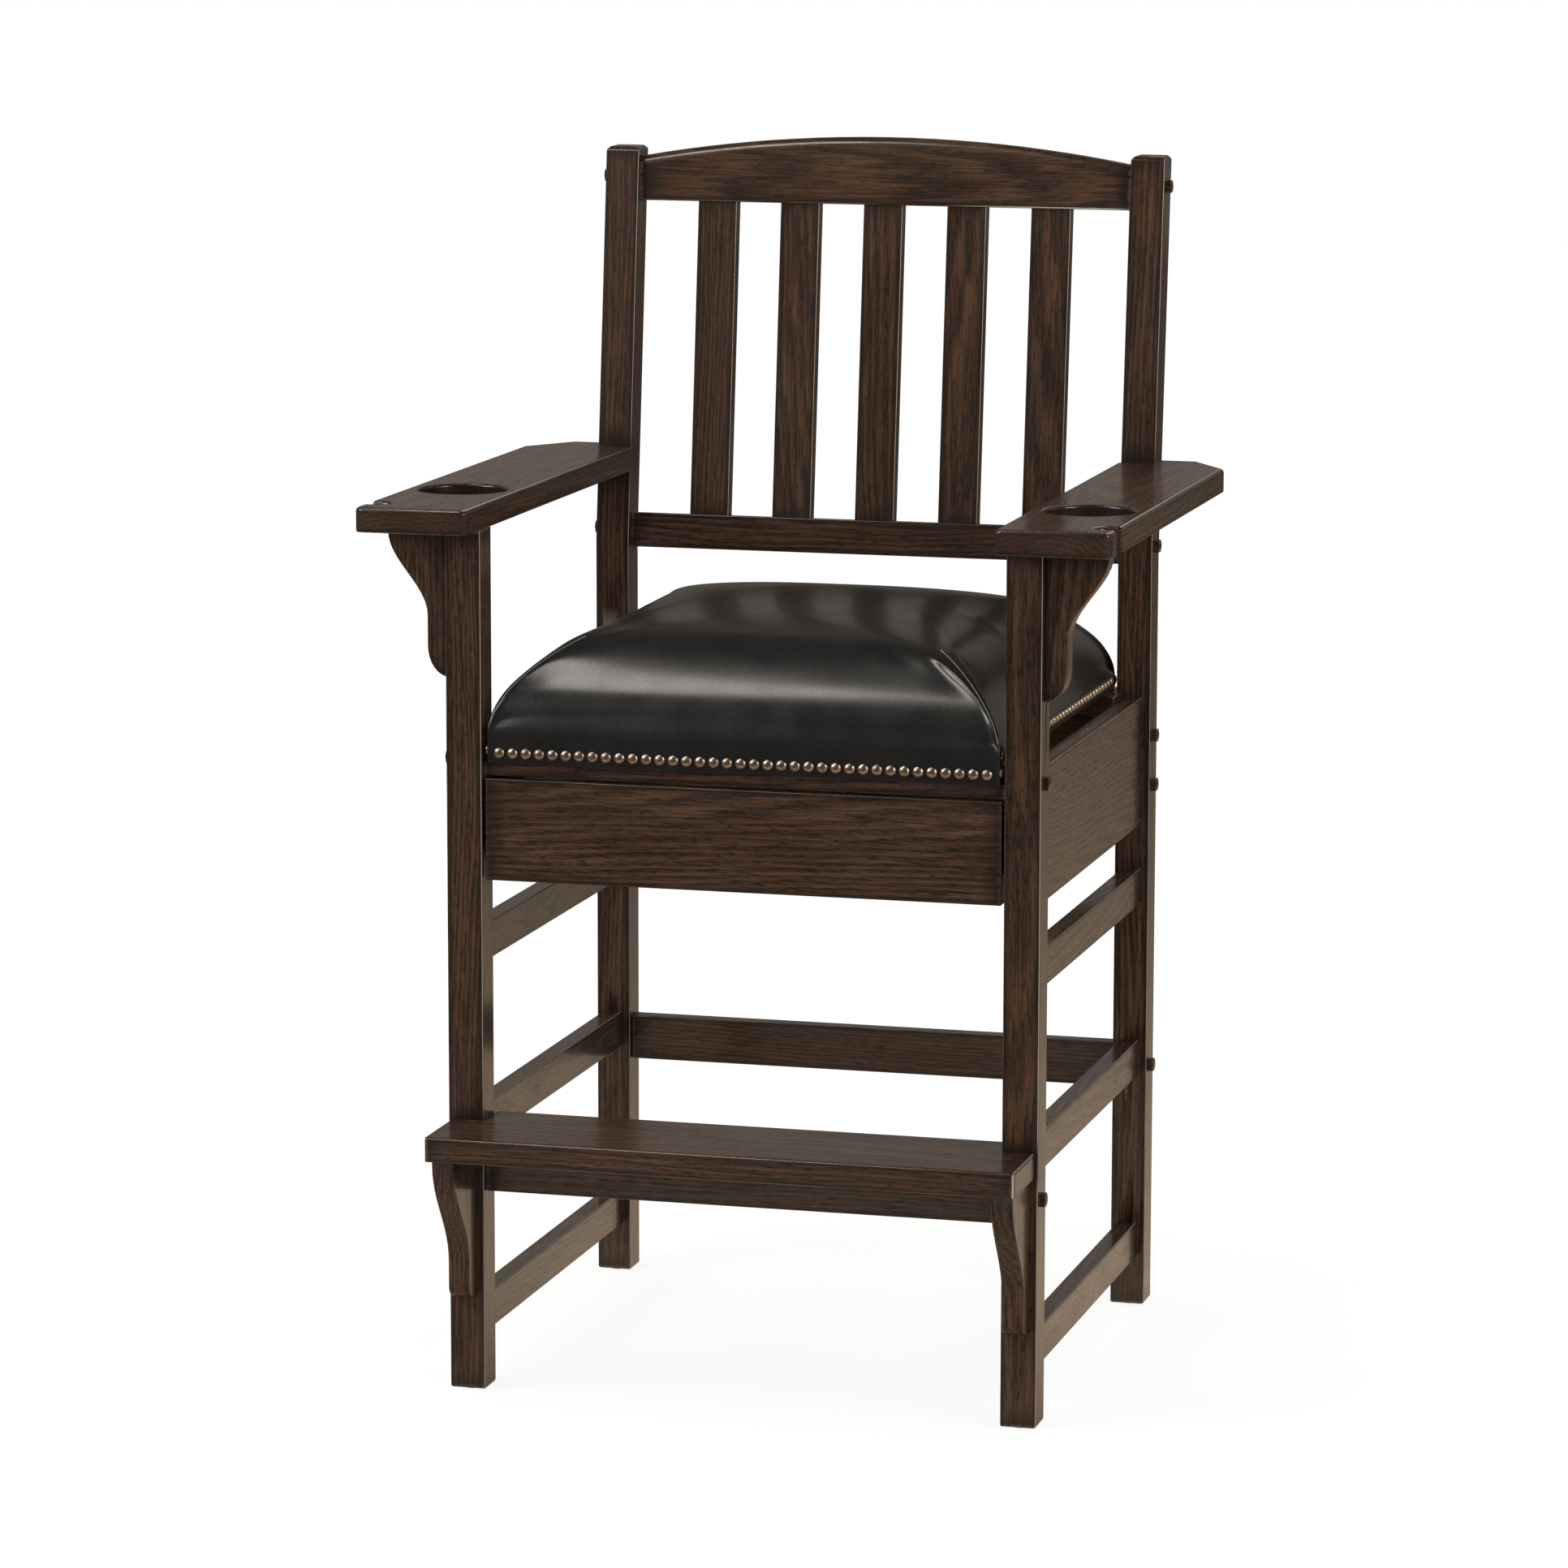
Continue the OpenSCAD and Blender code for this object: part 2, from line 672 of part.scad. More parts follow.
// Triangles between ring a and the ring after it, wound for an outer face or, turned, an inner one
function band(a, turned) = [for (i = [0:ring_n - 1]) let (
    j = (i + 1) % ring_n,
    p = a * ring_n + i, q = a * ring_n + j, r = p + ring_n, s = q + ring_n
  ) each turned ? [[p, q, s], [p, s, r]] : [[p, s, q], [p, r, s]]];
function fan(a, tip, turned) = [for (i = [0:ring_n - 1]) let (
    p = a * ring_n + i, q = a * ring_n + (i + 1) % ring_n
  ) turned ? [p, q, tip] : [p, tip, q]];

module seat_cushion() {
  outer = outer_levels();
  inner = concat([hem(leather_t)], inner_levels(leather_t));
  rings = concat(outer, inner);
  k = len(outer);
  n = len(rings);
  tip = n * ring_n;
  points = concat([for (r = rings) each r],
    [[0, seat_mid_y, seat_top + crown_h], [0, seat_mid_y, seat_top + crown_h - leather_t]]);
  rim = [for (i = [0:ring_n - 1]) let (j = (i + 1) % ring_n, p = k * ring_n + i, q = k * ring_n + j)
      each [[i, j, q], [i, q, p]]];
  faces = concat(
    [for (a = [0:k - 2]) each band(a, false)], fan(k - 1, tip, false),
    [for (a = [k:n - 2]) each band(a, true)], fan(n - 1, tip + 1, true), rim);
  color(leather) placed() polyhedron(points, faces, convexity = 4);
}

foam_gap = 0.4;
module seat_foam() {
  inset = leather_t + foam_gap;
  rings = inner_levels(inset);
  n = len(rings);
  tip = n * ring_n;
  lift = [for (i = [0:n - 1]) [for (p = rings[i]) [p[0], p[1], i == 0 ? seat_top + glue_gap : p[2]]]];
  points = concat([for (r = lift) each r],
    [[0, seat_mid_y, seat_top + crown_h - inset], [0, seat_mid_y, seat_top + glue_gap]]);
  faces = concat([for (a = [0:n - 2]) each band(a, false)], fan(n - 1, tip, false), fan(0, tip + 1, true));
  color(foam) placed() polyhedron(points, faces, convexity = 4);
}

// Domed nails, driven in along the lower edge of the leather. Their pins stop short of the front rail.
nail_rise = 10;
nail_front_z = seat_z - skirt_h + nail_rise;
nail_side_z = seat_z + nail_rise;
nail_l = rail_step - seat_front - 2 * glue_gap;
nail_t = 3;
pin_r = 0.8;
corner_nail_y = skirt_back - nail_r - glue_gap;
corner_nail_rise = 2;
module nail() {
  dome_r = (nail_r * nail_r + nail_t * nail_t) / (2 * nail_t);
  intersection() {
    translate([0, 0, nail_t - dome_r]) sphere(r = dome_r);
    translate([0, 0, 0.01]) cylinder(r = nail_r, h = nail_t);
  }
  translate([0, 0, -nail_l]) cylinder(r = pin_r, h = nail_l + cut);
}

// A row centred on a side of half length l, with as many nails as fit between its rounded corners
function row(l, step) = let (n = floor(2 * (l - corner_r - nail_r) / step) + 1)
  [for (i = [0:n - 1]) (i - (n - 1) / 2) * step];
module nail_rows() {
  across = row(seat_w, nail_step);
  along = row(seat_d, nail_side_step);
  for (x = across) translate([x, seat_front, nail_front_z]) rotate([90, 0, 0]) children();
  for (x = across) translate([x, seat_back, nail_side_z]) rotate([-90, 0, 0]) children();
  for (y = along, side = [-1, 1]) on_side(side)
    translate([seat_w, seat_mid_y + y, nail_side_z]) rotate([0, 90, 0]) children();
  for (side = [-1, 1]) on_side(side)
    translate([seat_w, corner_nail_y, nail_front_z + corner_nail_rise]) rotate([0, 90, 0]) children();
}

module seat_nails() {
  color(brass) placed() nail_rows() nail();
}

module nail_holes() {
  nail_rows() translate([0, 0, -nail_l - cut]) cylinder(r = pin_r + glue_gap, h = nail_l, $fn = 16);
}

// Square plugs with domed faces, the bolts behind them and the barrel nuts in the boards
hex_r = 2.9;
hex_deep = 3;
thread_gap = 0.05;
module bolt_plugs() {
  dome_r = plug_w * 1.6;
  color(wood) placed() for (side = [-1, 1], b = all_bolts) on_side(side)
    translate([leg_out, b[0], b[1]]) intersection() {
      translate([-plug_deep, -plug_w / 2, -plug_w / 2]) cube([plug_deep + plug_out, plug_w, plug_w]);
      translate([plug_out - dome_r, 0, 0]) sphere(r = dome_r);
    }
}

module frame_bolts() {
  color(steel) placed() for (side = [-1, 1], b = all_bolts) on_side(side)
    translate([leg_out - plug_deep, b[0], b[1]]) rotate([0, -90, 0]) difference() {
      union() {
        cylinder(r = head_r, h = head_t);
        cylinder(r = bolt_r, h = head_t + bolt_l);
      }
      translate([0, 0, -cut]) cylinder(r = hex_r, h = hex_deep + cut, $fn = 6);
    }
}

module barrel_nuts() {
  color(steel) placed() for (side = [-1, 1], b = all_bolts) on_side(side) difference() {
    translate([nut_x, b[0] - nut_l / 2, b[1]]) rotate([-90, 0, 0]) cylinder(r = nut_r, h = nut_l);
    translate([nut_x - nut_r - cut, b[0], b[1]]) rotate([0, 90, 0])
      cylinder(r = bolt_r + thread_gap, h = 2 * nut_r + 2 * cut);
  }
}

module frame_dowels() {
  color(board_pale) placed() for (side = [-1, 1]) on_side(side) dowel_set(dowels, 0);
}

module floor_glides() {
  color(nylon) placed() for (side = [-1, 1], y = [leg_t / 2, leg_pitch + leg_t / 2])
    on_side(side) glide(leg_mid, y, 0);
}

// Drawer box. Its sides stand clear of the legs by the width of the slides.
slide_t = 12.7;
box_out = leg_in - slide_t;
box_in = box_out - drawer_side_t;
box_front = drawer_step + drawer_front_t;
box_back = box_front + drawer_l;
box_rise = 10;
box_z = drawer_low + box_rise;
groove = drawer_side_t / 2;
bottom_rise = 6;
bottom_z = box_z + bottom_rise;
inner_t = drawer_side_t;

module drawer_front() {
  color(wood) placed() difference() {
    translate([drawer_gap - leg_in, drawer_step, drawer_low])
      cube([2 * (leg_in - drawer_gap), drawer_front_t, drawer_h]);
    drawer_front_screw_set(glue_gap);
  }
}

module bottom_board(grow) {
  half = box_in + groove + grow;
  depth = drawer_l - 2 * (inner_t - groove) + 2 * grow;
  translate([-half, box_front + inner_t - groove - grow, bottom_z - grow])
    cube([2 * half, depth, drawer_bottom_t + 2 * grow]);
}

module drawer_inner_front() {
  color(board_pale) placed() difference() {
    translate([-box_in, box_front, box_z]) cube([2 * box_in, inner_t, drawer_side_h]);
    bottom_board(glue_gap);
    drawer_front_screw_set(glue_gap);
  }
}

module drawer_back() {
  color(board_pale) placed() difference() {
    translate([-box_in, box_back - inner_t, box_z]) cube([2 * box_in, inner_t, drawer_side_h]);
    bottom_board(glue_gap);
  }
}

module drawer_side(side) {
  color(board_pale) placed() on_side(side) difference() {
    translate([box_in, box_front, box_z]) cube([drawer_side_t, drawer_l, drawer_side_h]);
    bottom_board(glue_gap);
    slide_screw_set(box_out, -1, glue_gap);
  }
}

module drawer_bottom() {
  color(board_pale) placed() bottom_board(0);
}

// Screws from the inner front into the drawer front
front_screw_in = 40;
front_screw_low = 20;
front_screw_top = 15;
front_screw_bite = 12;
module drawer_front_screw_set(grow) {
  open = grow > 0 ? cut : 0;
  for (side = [-1, 1], z = [front_screw_low, drawer_side_h - front_screw_top]) on_side(side)
    translate([box_in - front_screw_in, box_front + inner_t, box_z + z]) rotate([90, 0, 0]) {
      translate([0, 0, -open]) cylinder(r = screw_head_r + grow, h = screw_head_t + open);
      cylinder(r = screw_r + grow, h = inner_t + front_screw_bite + grow);
    }
}

module drawer_front_screws() {
  color(steel) placed() drawer_front_screw_set(0);
}

// Telescopic slides: an outer channel on a packer, a middle channel and an inner one on the drawer
slide_z = box_z + drawer_side_h / 2;
slide_y = leg_t + 2;
slide_wall = 1.2;
slide_play = 0.6;
outer_h = 45;
middle_h = 38.6;
inner_h = 26;
screw_cap = 1.8;
outer_depth = 10.5;
middle_out = leg_in - slide_wall - screw_cap - slide_play;
middle_depth = 7;
inner_depth = 6;
// A packer is this much taller than the slide on it
packer_over = 10;
packer_h = outer_h + packer_over;
pan_r = 3.5;
pan_l = 7;
pan_in = 24;

// A channel whose web lies at x and whose flanges reach towards side by depth
module channel(x, side, depth, height) {
  web = side > 0 ? x : x - slide_wall;
  reach = side > 0 ? x : x - depth;
  translate([web, slide_y, slide_z - height / 2]) cube([slide_wall, slide_l, height]);
  for (z = [slide_z - height / 2, slide_z + height / 2 - slide_wall])
    translate([reach, slide_y, z]) cube([depth, slide_l, slide_wall]);
}

// Pan-head screws through a channel's web at x, driven towards side
slide_screw_ys = [slide_y + pan_in, slide_y + slide_l / 2, slide_y + slide_l - pan_in];
module slide_screw_set(x, side, grow) {
  for (y = slide_screw_ys) translate([x, y, slide_z]) rotate([0, 90 * side, 0]) {
    translate([0, 0, -slide_wall - 0.01]) cylinder(r = screw_r + grow, h = slide_wall + pan_l + grow);
    translate([0, 0, -slide_wall - screw_cap]) cylinder(r = pan_r, h = screw_cap);
  }
}

module slide_packer(side) {
  color(board_pale) placed() on_side(side) difference() {
    translate([leg_in, leg_t, slide_z - packer_h / 2])
      cube([board_in - leg_in, leg_pitch - leg_t, packer_h]);
    slide_screw_set(leg_in, 1, glue_gap);
  }
}

module slide_outer(side) {
  color(steel) placed() on_side(side) difference() {
    channel(leg_in, -1, outer_depth, outer_h);
    slide_screw_set(leg_in, 1, glue_gap);
  }
}

module slide_middle(side) {
  color(steel) placed() on_side(side) channel(middle_out, -1, middle_depth, middle_h);
}

module slide_inner(side) {
  color(steel) placed() on_side(side) difference() {
    channel(box_out, 1, inner_depth, inner_h);
    slide_screw_set(box_out, -1, glue_gap);
  }
}

module slide_screws_frame() {
  color(steel) placed() for (side = [-1, 1]) on_side(side) slide_screw_set(leg_in, 1, 0);
}

module slide_screws_drawer() {
  color(steel) placed() for (side = [-1, 1]) on_side(side) slide_screw_set(box_out, -1, 0);
}

front_leg(-1);  // front_leg_left
front_leg(1);  // front_leg_right
rear_post(-1);  // rear_post_left
rear_post(1);  // rear_post_right
crest_rail();
lower_back_rail();
back_slat(0);  // back_slat_1
back_slat(1);  // back_slat_2
back_slat(2);  // back_slat_3
back_slat(3);  // back_slat_4
back_slat(4);  // back_slat_5
arm(-1);  // arm_left
arm(1);  // arm_right
arm_corbel(-1);  // arm_corbel_left
arm_corbel(1);  // arm_corbel_right
side_board(-1, side_boards[0]);  // side_apron_left
side_board(1, side_boards[0]);  // side_apron_right
rear_apron();
front_seat_rail();
side_board(-1, side_boards[1]);  // stretcher_upper_left
side_board(1, side_boards[1]);  // stretcher_upper_right
side_board(-1, side_boards[2]);  // stretcher_middle_left
side_board(1, side_boards[2]);  // stretcher_middle_right
side_board(-1, side_boards[3]);  // stretcher_lower_left
side_board(1, side_boards[3]);  // stretcher_lower_right
rear_stretcher();
footrest_board();
foot_rail();
foot_corbel(-1);  // foot_corbel_left
foot_corbel(1);  // foot_corbel_right
corner_blocks();
seat_board();
seat_lip();
seat_foam();
seat_cushion();
seat_nails();
bolt_plugs();
frame_bolts();
barrel_nuts();
frame_dowels();
floor_glides();
seat_screws();
drawer_front();
drawer_inner_front();
drawer_side(-1);  // drawer_side_left
drawer_side(1);  // drawer_side_right
drawer_back();
drawer_bottom();
drawer_front_screws();
slide_packer(-1);  // slide_packer_left
slide_packer(1);  // slide_packer_right
slide_outer(-1);  // slide_outer_left
slide_outer(1);  // slide_outer_right
slide_middle(-1);  // slide_middle_left
slide_middle(1);  // slide_middle_right
slide_inner(-1);  // slide_inner_left
slide_inner(1);  // slide_inner_right
slide_screws_frame();
slide_screws_drawer();
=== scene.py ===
"""Tall spectator chair in dark stained oak, with a crowned black leather seat edged in antique nails."""

import math
import random

import bmesh
import bpy
from mathutils import Matrix, Vector


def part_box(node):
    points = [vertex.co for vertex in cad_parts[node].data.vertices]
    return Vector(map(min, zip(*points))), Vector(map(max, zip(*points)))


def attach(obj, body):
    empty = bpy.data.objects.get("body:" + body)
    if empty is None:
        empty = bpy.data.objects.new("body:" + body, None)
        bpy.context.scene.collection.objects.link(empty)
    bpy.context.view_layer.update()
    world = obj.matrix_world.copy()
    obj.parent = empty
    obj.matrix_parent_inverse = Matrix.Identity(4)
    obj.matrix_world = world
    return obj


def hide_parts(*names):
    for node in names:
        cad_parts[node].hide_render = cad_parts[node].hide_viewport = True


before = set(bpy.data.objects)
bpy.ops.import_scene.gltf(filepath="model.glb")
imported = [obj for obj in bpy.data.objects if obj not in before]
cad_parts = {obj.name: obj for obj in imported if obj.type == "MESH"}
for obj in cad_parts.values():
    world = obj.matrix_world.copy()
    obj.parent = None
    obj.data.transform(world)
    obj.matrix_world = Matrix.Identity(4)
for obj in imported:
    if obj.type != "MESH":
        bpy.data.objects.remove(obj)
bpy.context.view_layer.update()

MM = 0.001
SIDES = ("left", "right")
# Points and faces closer than this are taken to touch.
NEAR = 1 * MM

# The back leans from this height on, about the front faces of the rear posts.
BEND_Z = 798 * MM
LEAN = math.radians(6)

front_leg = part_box("front_leg_right")
rear_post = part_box("rear_post_right")
LEG = front_leg[1].x - front_leg[0].x
LEG_IN = front_leg[0].x
LEG_OUT = front_leg[1].x
LEG_FRONT = front_leg[0].y
LEG_BACK = front_leg[1].y
POST_FRONT = rear_post[0].y


# Helpers


def link(data, name):
    """A new object for a mesh, a camera or a lamp, put into the scene."""
    ob = bpy.data.objects.new(name, data)
    bpy.context.scene.collection.objects.link(ob)
    return ob


def span(points):
    """The lowest and the highest corner of the box round some points."""
    low = Vector([min(p[i] for p in points) for i in range(3)])
    high = Vector([max(p[i] for p in points) for i in range(3)])
    return low, high


def middle_of(edge):
    a, b = edge.verts
    return (a.co + b.co) / 2


def rgb(r, g, b):
    return (r, g, b, 1.0)


# Shader nodes


def feed(tree, socket, value):
    """Links a socket to another one, or sets its value."""
    if isinstance(value, bpy.types.NodeSocket):
        tree.links.new(value, socket)
    else:
        socket.default_value = value


def put(tree, kind, inputs=None, **settings):
    """Adds a shader node. An input given as a socket is linked, anything else is its value."""
    n = tree.nodes.new("ShaderNode" + kind)
    for name, value in settings.items():
        setattr(n, name, value)
    for key, value in (inputs or {}).items():
        feed(tree, n.inputs[key], value)
    return n


def math_node(tree, operation, a, b=0.0, c=0.0, clamp=False):
    return put(tree, "Math", {0: a, 1: b, 2: c}, operation=operation, use_clamp=clamp).outputs[0]


def times(tree, a, b):
    return math_node(tree, "MULTIPLY", a, b)


def vector_node(tree, operation, a, b=(0, 0, 0)):
    n = put(tree, "VectorMath", {0: a, 1: b}, operation=operation)
    return n.outputs["Value" if operation == "LENGTH" else "Vector"]


def ramp(tree, value, low, high, out_low=0.0, out_high=1.0):
    """value between low and high, carried over smoothly to the range out_low to out_high."""
    return put(
        tree,
        "MapRange",
        {"Value": value, "From Min": low, "From Max": high, "To Min": out_low, "To Max": out_high},
        interpolation_type="SMOOTHSTEP",
    ).outputs["Result"]


def noise(tree, place, scale, detail):
    return put(tree, "TexNoise", {"Vector": place, "Scale": scale, "Detail": detail}).outputs["Fac"]


def attribute(tree, name, kind="Fac"):
    return put(tree, "Attribute", attribute_name=name).outputs[kind]


def bumps(tree, height, strength, distance):
    return put(tree, "Bump", {"Height": height, "Strength": strength, "Distance": distance}).outputs["Normal"]


# The Mix node's sockets for two colours and for their blend.
COLOUR_A = 6
COLOUR_B = 7
COLOUR_OUT = 2


def blend_colour(tree, factor, a, b, mode="MIX"):
    n = put(tree, "Mix", {"Factor": factor}, data_type="RGBA", blend_type=mode)
    feed(tree, n.inputs[COLOUR_A], a)
    feed(tree, n.inputs[COLOUR_B], b)
    return n.outputs[COLOUR_OUT]


def scaled(tree, colour, factor):
    return put(tree, "VectorMath", {0: colour, "Scale": factor}, operation="SCALE").outputs[0]


def new_material(name):
    material = bpy.data.materials.new(name)
    material.use_nodes = True
    material.node_tree.nodes.clear()
    return material, material.node_tree


def finish_material(tree, shader):
    put(tree, "OutputMaterial", {"Surface": shader})


def surfaced(material, tree, tone, rough, normal, extra=None):
    """Ends a material with its surface."""
    inputs = {"Base Color": tone, "Roughness": rough, "Normal": normal}
    inputs.update(extra or {})
    finish_material(tree, put(tree, "BsdfPrincipled", inputs).outputs[0])
    return material


# Camera, floor and light

# The photograph's eye: its place in metres, its turns in degrees, and its lens.
EYE = (1.6151, -6.09115, 1.6488)
EYE_YAW = 15.054
EYE_PITCH = 9.548
EYE_ROLL = -0.099
LENS_MM = 144.489
FILM_MM = 36
SIGHT = 60

WHITE = rgb(1, 1, 1)
# The floor is paper, a little over white far from the chair.
FLOOR_HALF = 14.0
PAPER = rgb(0.8, 0.79, 0.78)
PAPER_GLOW = 1.03
# The floor's light in the lacquer: how it dies away from the chair, and the least of it.
GLOW_FADE = -0.4
GLOW_LEAST = 0.03
# The studio's light on the wood.
FILL = rgb(1, 0.985, 0.965)
FILL_STRENGTH = 0.88
# How bright the lacquer sees the wall, the strip on it and the one at the right.
WALL_LEAST = 0.03
WALL_MOST = 0.185
STRIP_MOST = 0.11
RIGHT_STRIP_MOST = 0.6
# Name, place, aim, width, height, watts and tint of each softbox.
SOFTBOXES = (
    ("overhead_softbox", (-0.95, -0.85, 3.3), (0.0, -0.05, 0.75), 0.9, 0.8, 18, (1, 0.93, 0.85)),
    ("left_softbox", (-3.3, -2.6, 3.0), (0, 0, 0.65), 2.2, 2.0, 114, (1, 0.98, 0.95)),
    ("right_softbox", (3.4, -1.6, 2.2), (0, 0, 0.6), 1.6, 1.8, 56, (1, 0.97, 0.93)),
)
# The tint of the room in the lacquer.
REFLECTED = rgb(1, 0.88, 0.76)
# The floor near the chair gives it a warmer one.
REFLECTED_LOW = rgb(1, 0.77, 0.56)


def place_camera():
    """The photograph's eye: 6.3 m out to the front right, 0.4 m above the crest rail."""
    yaw, pitch, roll = (math.radians(turn) for turn in (EYE_YAW, EYE_PITCH, EYE_ROLL))
    level = math.cos(pitch)
    look = Vector((-math.sin(yaw) * level, math.cos(yaw) * level, -math.sin(pitch)))
    right = Vector((math.cos(yaw), math.sin(yaw), 0))
    down = look.cross(right)
    right, down = (
        right * math.cos(roll) + down * math.sin(roll),
        down * math.cos(roll) - right * math.sin(roll),
    )
    data = bpy.data.cameras.new("photo_camera")
    data.sensor_width = FILM_MM
    data.lens = LENS_MM
    data.clip_end = SIGHT
    camera = link(data, "photo_camera")
    turn = Matrix((right, -down, -look)).transposed().to_4x4()
    camera.matrix_world = Matrix.Translation(EYE) @ turn
    bpy.context.scene.camera = camera


def make_floor():
    """White paper under the chair, as the camera sees it and as the lacquer does."""
    mesh = bpy.data.meshes.new("floor")
    corners = [(x * FLOOR_HALF, y * FLOOR_HALF, 0) for x, y in ((-1, -1), (1, -1), (1, 1), (-1, 1))]
    mesh.from_pydata(corners, [], [(0, 1, 2, 3)])
    floor = link(mesh, "floor")
    material, tree = new_material("pale_floor")
    path = put(tree, "LightPath")
    place = put(tree, "TexCoord").outputs["Object"]
    reach = vector_node(tree, "LENGTH", place)
    across, depth, _ = put(tree, "SeparateXYZ", {0: place}).outputs
    # The camera sees white paper that keeps the chair's shadow near its feet.
    paper = put(tree, "BsdfDiffuse", {"Color": PAPER}).outputs[0]
    white = put(tree, "Emission", {"Color": WHITE, "Strength": PAPER_GLOW}).outputs[0]
    faded = ramp(tree, reach, 0.4, 1.2, 0.86, 1.0)
    seen = put(tree, "MixShader", {0: faded, 1: paper, 2: white}).outputs[0]
    plain = put(tree, "MixShader", {0: path.outputs["Is Camera Ray"], 1: paper, 2: seen}).outputs[0]
    # For glossy rays the floor glows: a painted reflection of the lit paper round the chair,
    # bright at its feet and dying away from them.
    dying = math_node(tree, "POWER", math.e, times(tree, reach, GLOW_FADE))
    behind = ramp(tree, depth, -0.9, 0.5, 0.07, 0.78)
    beside = ramp(tree, across, 0.5, 1.6, 0.0, 1.4)
    before = times(tree, ramp(tree, depth, -1.5, -1.15, 0.0, 1.2), ramp(tree, depth, -1.15, -0.6, 1.0, 0.2))
    most = math_node(tree, "MAXIMUM", before, math_node(tree, "MAXIMUM", behind, beside))
    glow = math_node(tree, "MULTIPLY_ADD", dying, most, GLOW_LEAST)
    shine = put(tree, "Emission", {"Color": REFLECTED_LOW, "Strength": glow}).outputs[0]
    shiny = put(tree, "MixShader", {0: path.outputs["Is Glossy Ray"], 1: plain, 2: shine}).outputs[0]
    finish_material(tree, shiny)
    mesh.materials.append(material)


def softbox(name, place, aim, width, height, watts, tint):
    data = bpy.data.lights.new(name, "AREA")
    data.shape = "RECTANGLE"
    data.size = width
    data.size_y = height
    data.energy = watts
    data.color = tint
    turn = (Vector(place) - Vector(aim)).to_track_quat("Z", "Y").to_matrix().to_4x4()
    link(data, name).matrix_world = Matrix.Translation(place) @ turn


def light_studio():
    """A white studio: its light for the wood, what gloss sees of it, and the white that the camera sees."""
    world = bpy.data.worlds.new("studio")
    bpy.context.scene.world = world
    world.use_nodes = True
    tree = world.node_tree
    tree.nodes.clear()
    path = put(tree, "LightPath")
    way = put(tree, "TexCoord").outputs["Generated"]
    across, depth, height = put(tree, "SeparateXYZ", {0: way}).outputs
    behind = ramp(tree, depth, -0.2, 0.7, WALL_LEAST, WALL_MOST)
    wall = times(tree, behind, ramp(tree, height, 0.2, 0.75, 1.0, 0.4))
    # A lit strip stands behind the chair, above the crest, and another at its right.
    strip = times(tree, ramp(tree, height, 0.2, 0.32), ramp(tree, height, 0.5, 0.72, 1.0, 0.0))
    strip = times(tree, strip, ramp(tree, depth, 0.1, 0.6, 0.0, STRIP_MOST))
    right = ramp(tree, across, 0.6, 0.95, 0.0, RIGHT_STRIP_MOST)
    right = times(tree, right, ramp(tree, height, 0.15, 0.5, 1.0, 0.0))
    seen_in_gloss = math_node(tree, "ADD", wall, math_node(tree, "ADD", strip, right))
    fill = put(tree, "Background", {"Color": FILL, "Strength": FILL_STRENGTH}).outputs[0]
    gloss = put(tree, "Background", {"Color": REFLECTED, "Strength": seen_in_gloss}).outputs[0]
    white = put(tree, "Background", {"Color": WHITE, "Strength": 1.0}).outputs[0]
    lit = put(tree, "MixShader", {0: path.outputs["Is Glossy Ray"], 1: fill, 2: gloss}).outputs[0]
    all_rays = put(tree, "MixShader", {0: path.outputs["Is Camera Ray"], 1: lit, 2: white}).outputs[0]
    put(tree, "OutputWorld", {"Surface": all_rays})
    for box in SOFTBOXES:
        softbox(*box)


# Shader groups

# Widths of the oak's rings and pores, and of the hide's cells.
OAK_RING = 4.2 * MM
OAK_PORE = 0.9 * MM
HIDE_CELL = 1.6 * MM
# How finely each figure of the oak is drawn, along and across the grain.
SWAY_SCALE = (2.2, 13.0, 13.0)
RING_SCALE = (0.035, 1.0, 1.0)
FIBRE_SCALE = (0.013, 0.58, 0.58)
PORE_SCALE = (0.07, 1.0, 1.0)
CLOUD_SCALE = (4.0, 22.0, 22.0)
PATCH_SCALE = (5, 18, 18)
# How far the rings sway to the sides, in metres.
SWAY = (0.0, 0.026, 0.026)
# Noise seldom leaves this range.
NOISE = (0.3, 0.7)
# Widths of the glaze and painted shade beside an arris, and of the painted highlight line on it.
GLAZE_AND_SHADE_WIDTH = 7 * MM
HIGHLIGHT_LINE_WIDTH = 1.3 * MM


def new_group(name, inputs, outputs):
    """An empty shader group with sockets given as (name, kind, value)."""
    group = bpy.data.node_groups.new(name, "ShaderNodeTree")
    kinds = {"value": "NodeSocketFloat", "vector": "NodeSocketVector"}
    for label, kind, value in inputs:
        socket = group.interface.new_socket(label, in_out="INPUT", socket_type=kinds[kind])
        socket.default_value = value
    for label, kind in outputs:
        group.interface.new_socket(label, in_out="OUTPUT", socket_type=kinds[kind])
    return group, (group.nodes.new("NodeGroupInput"), group.nodes.new("NodeGroupOutput"))


def give(group, gives, values):
    """Links what a group works out to its outputs."""
    for name, value in values.items():
        group.links.new(value, gives.inputs[name])


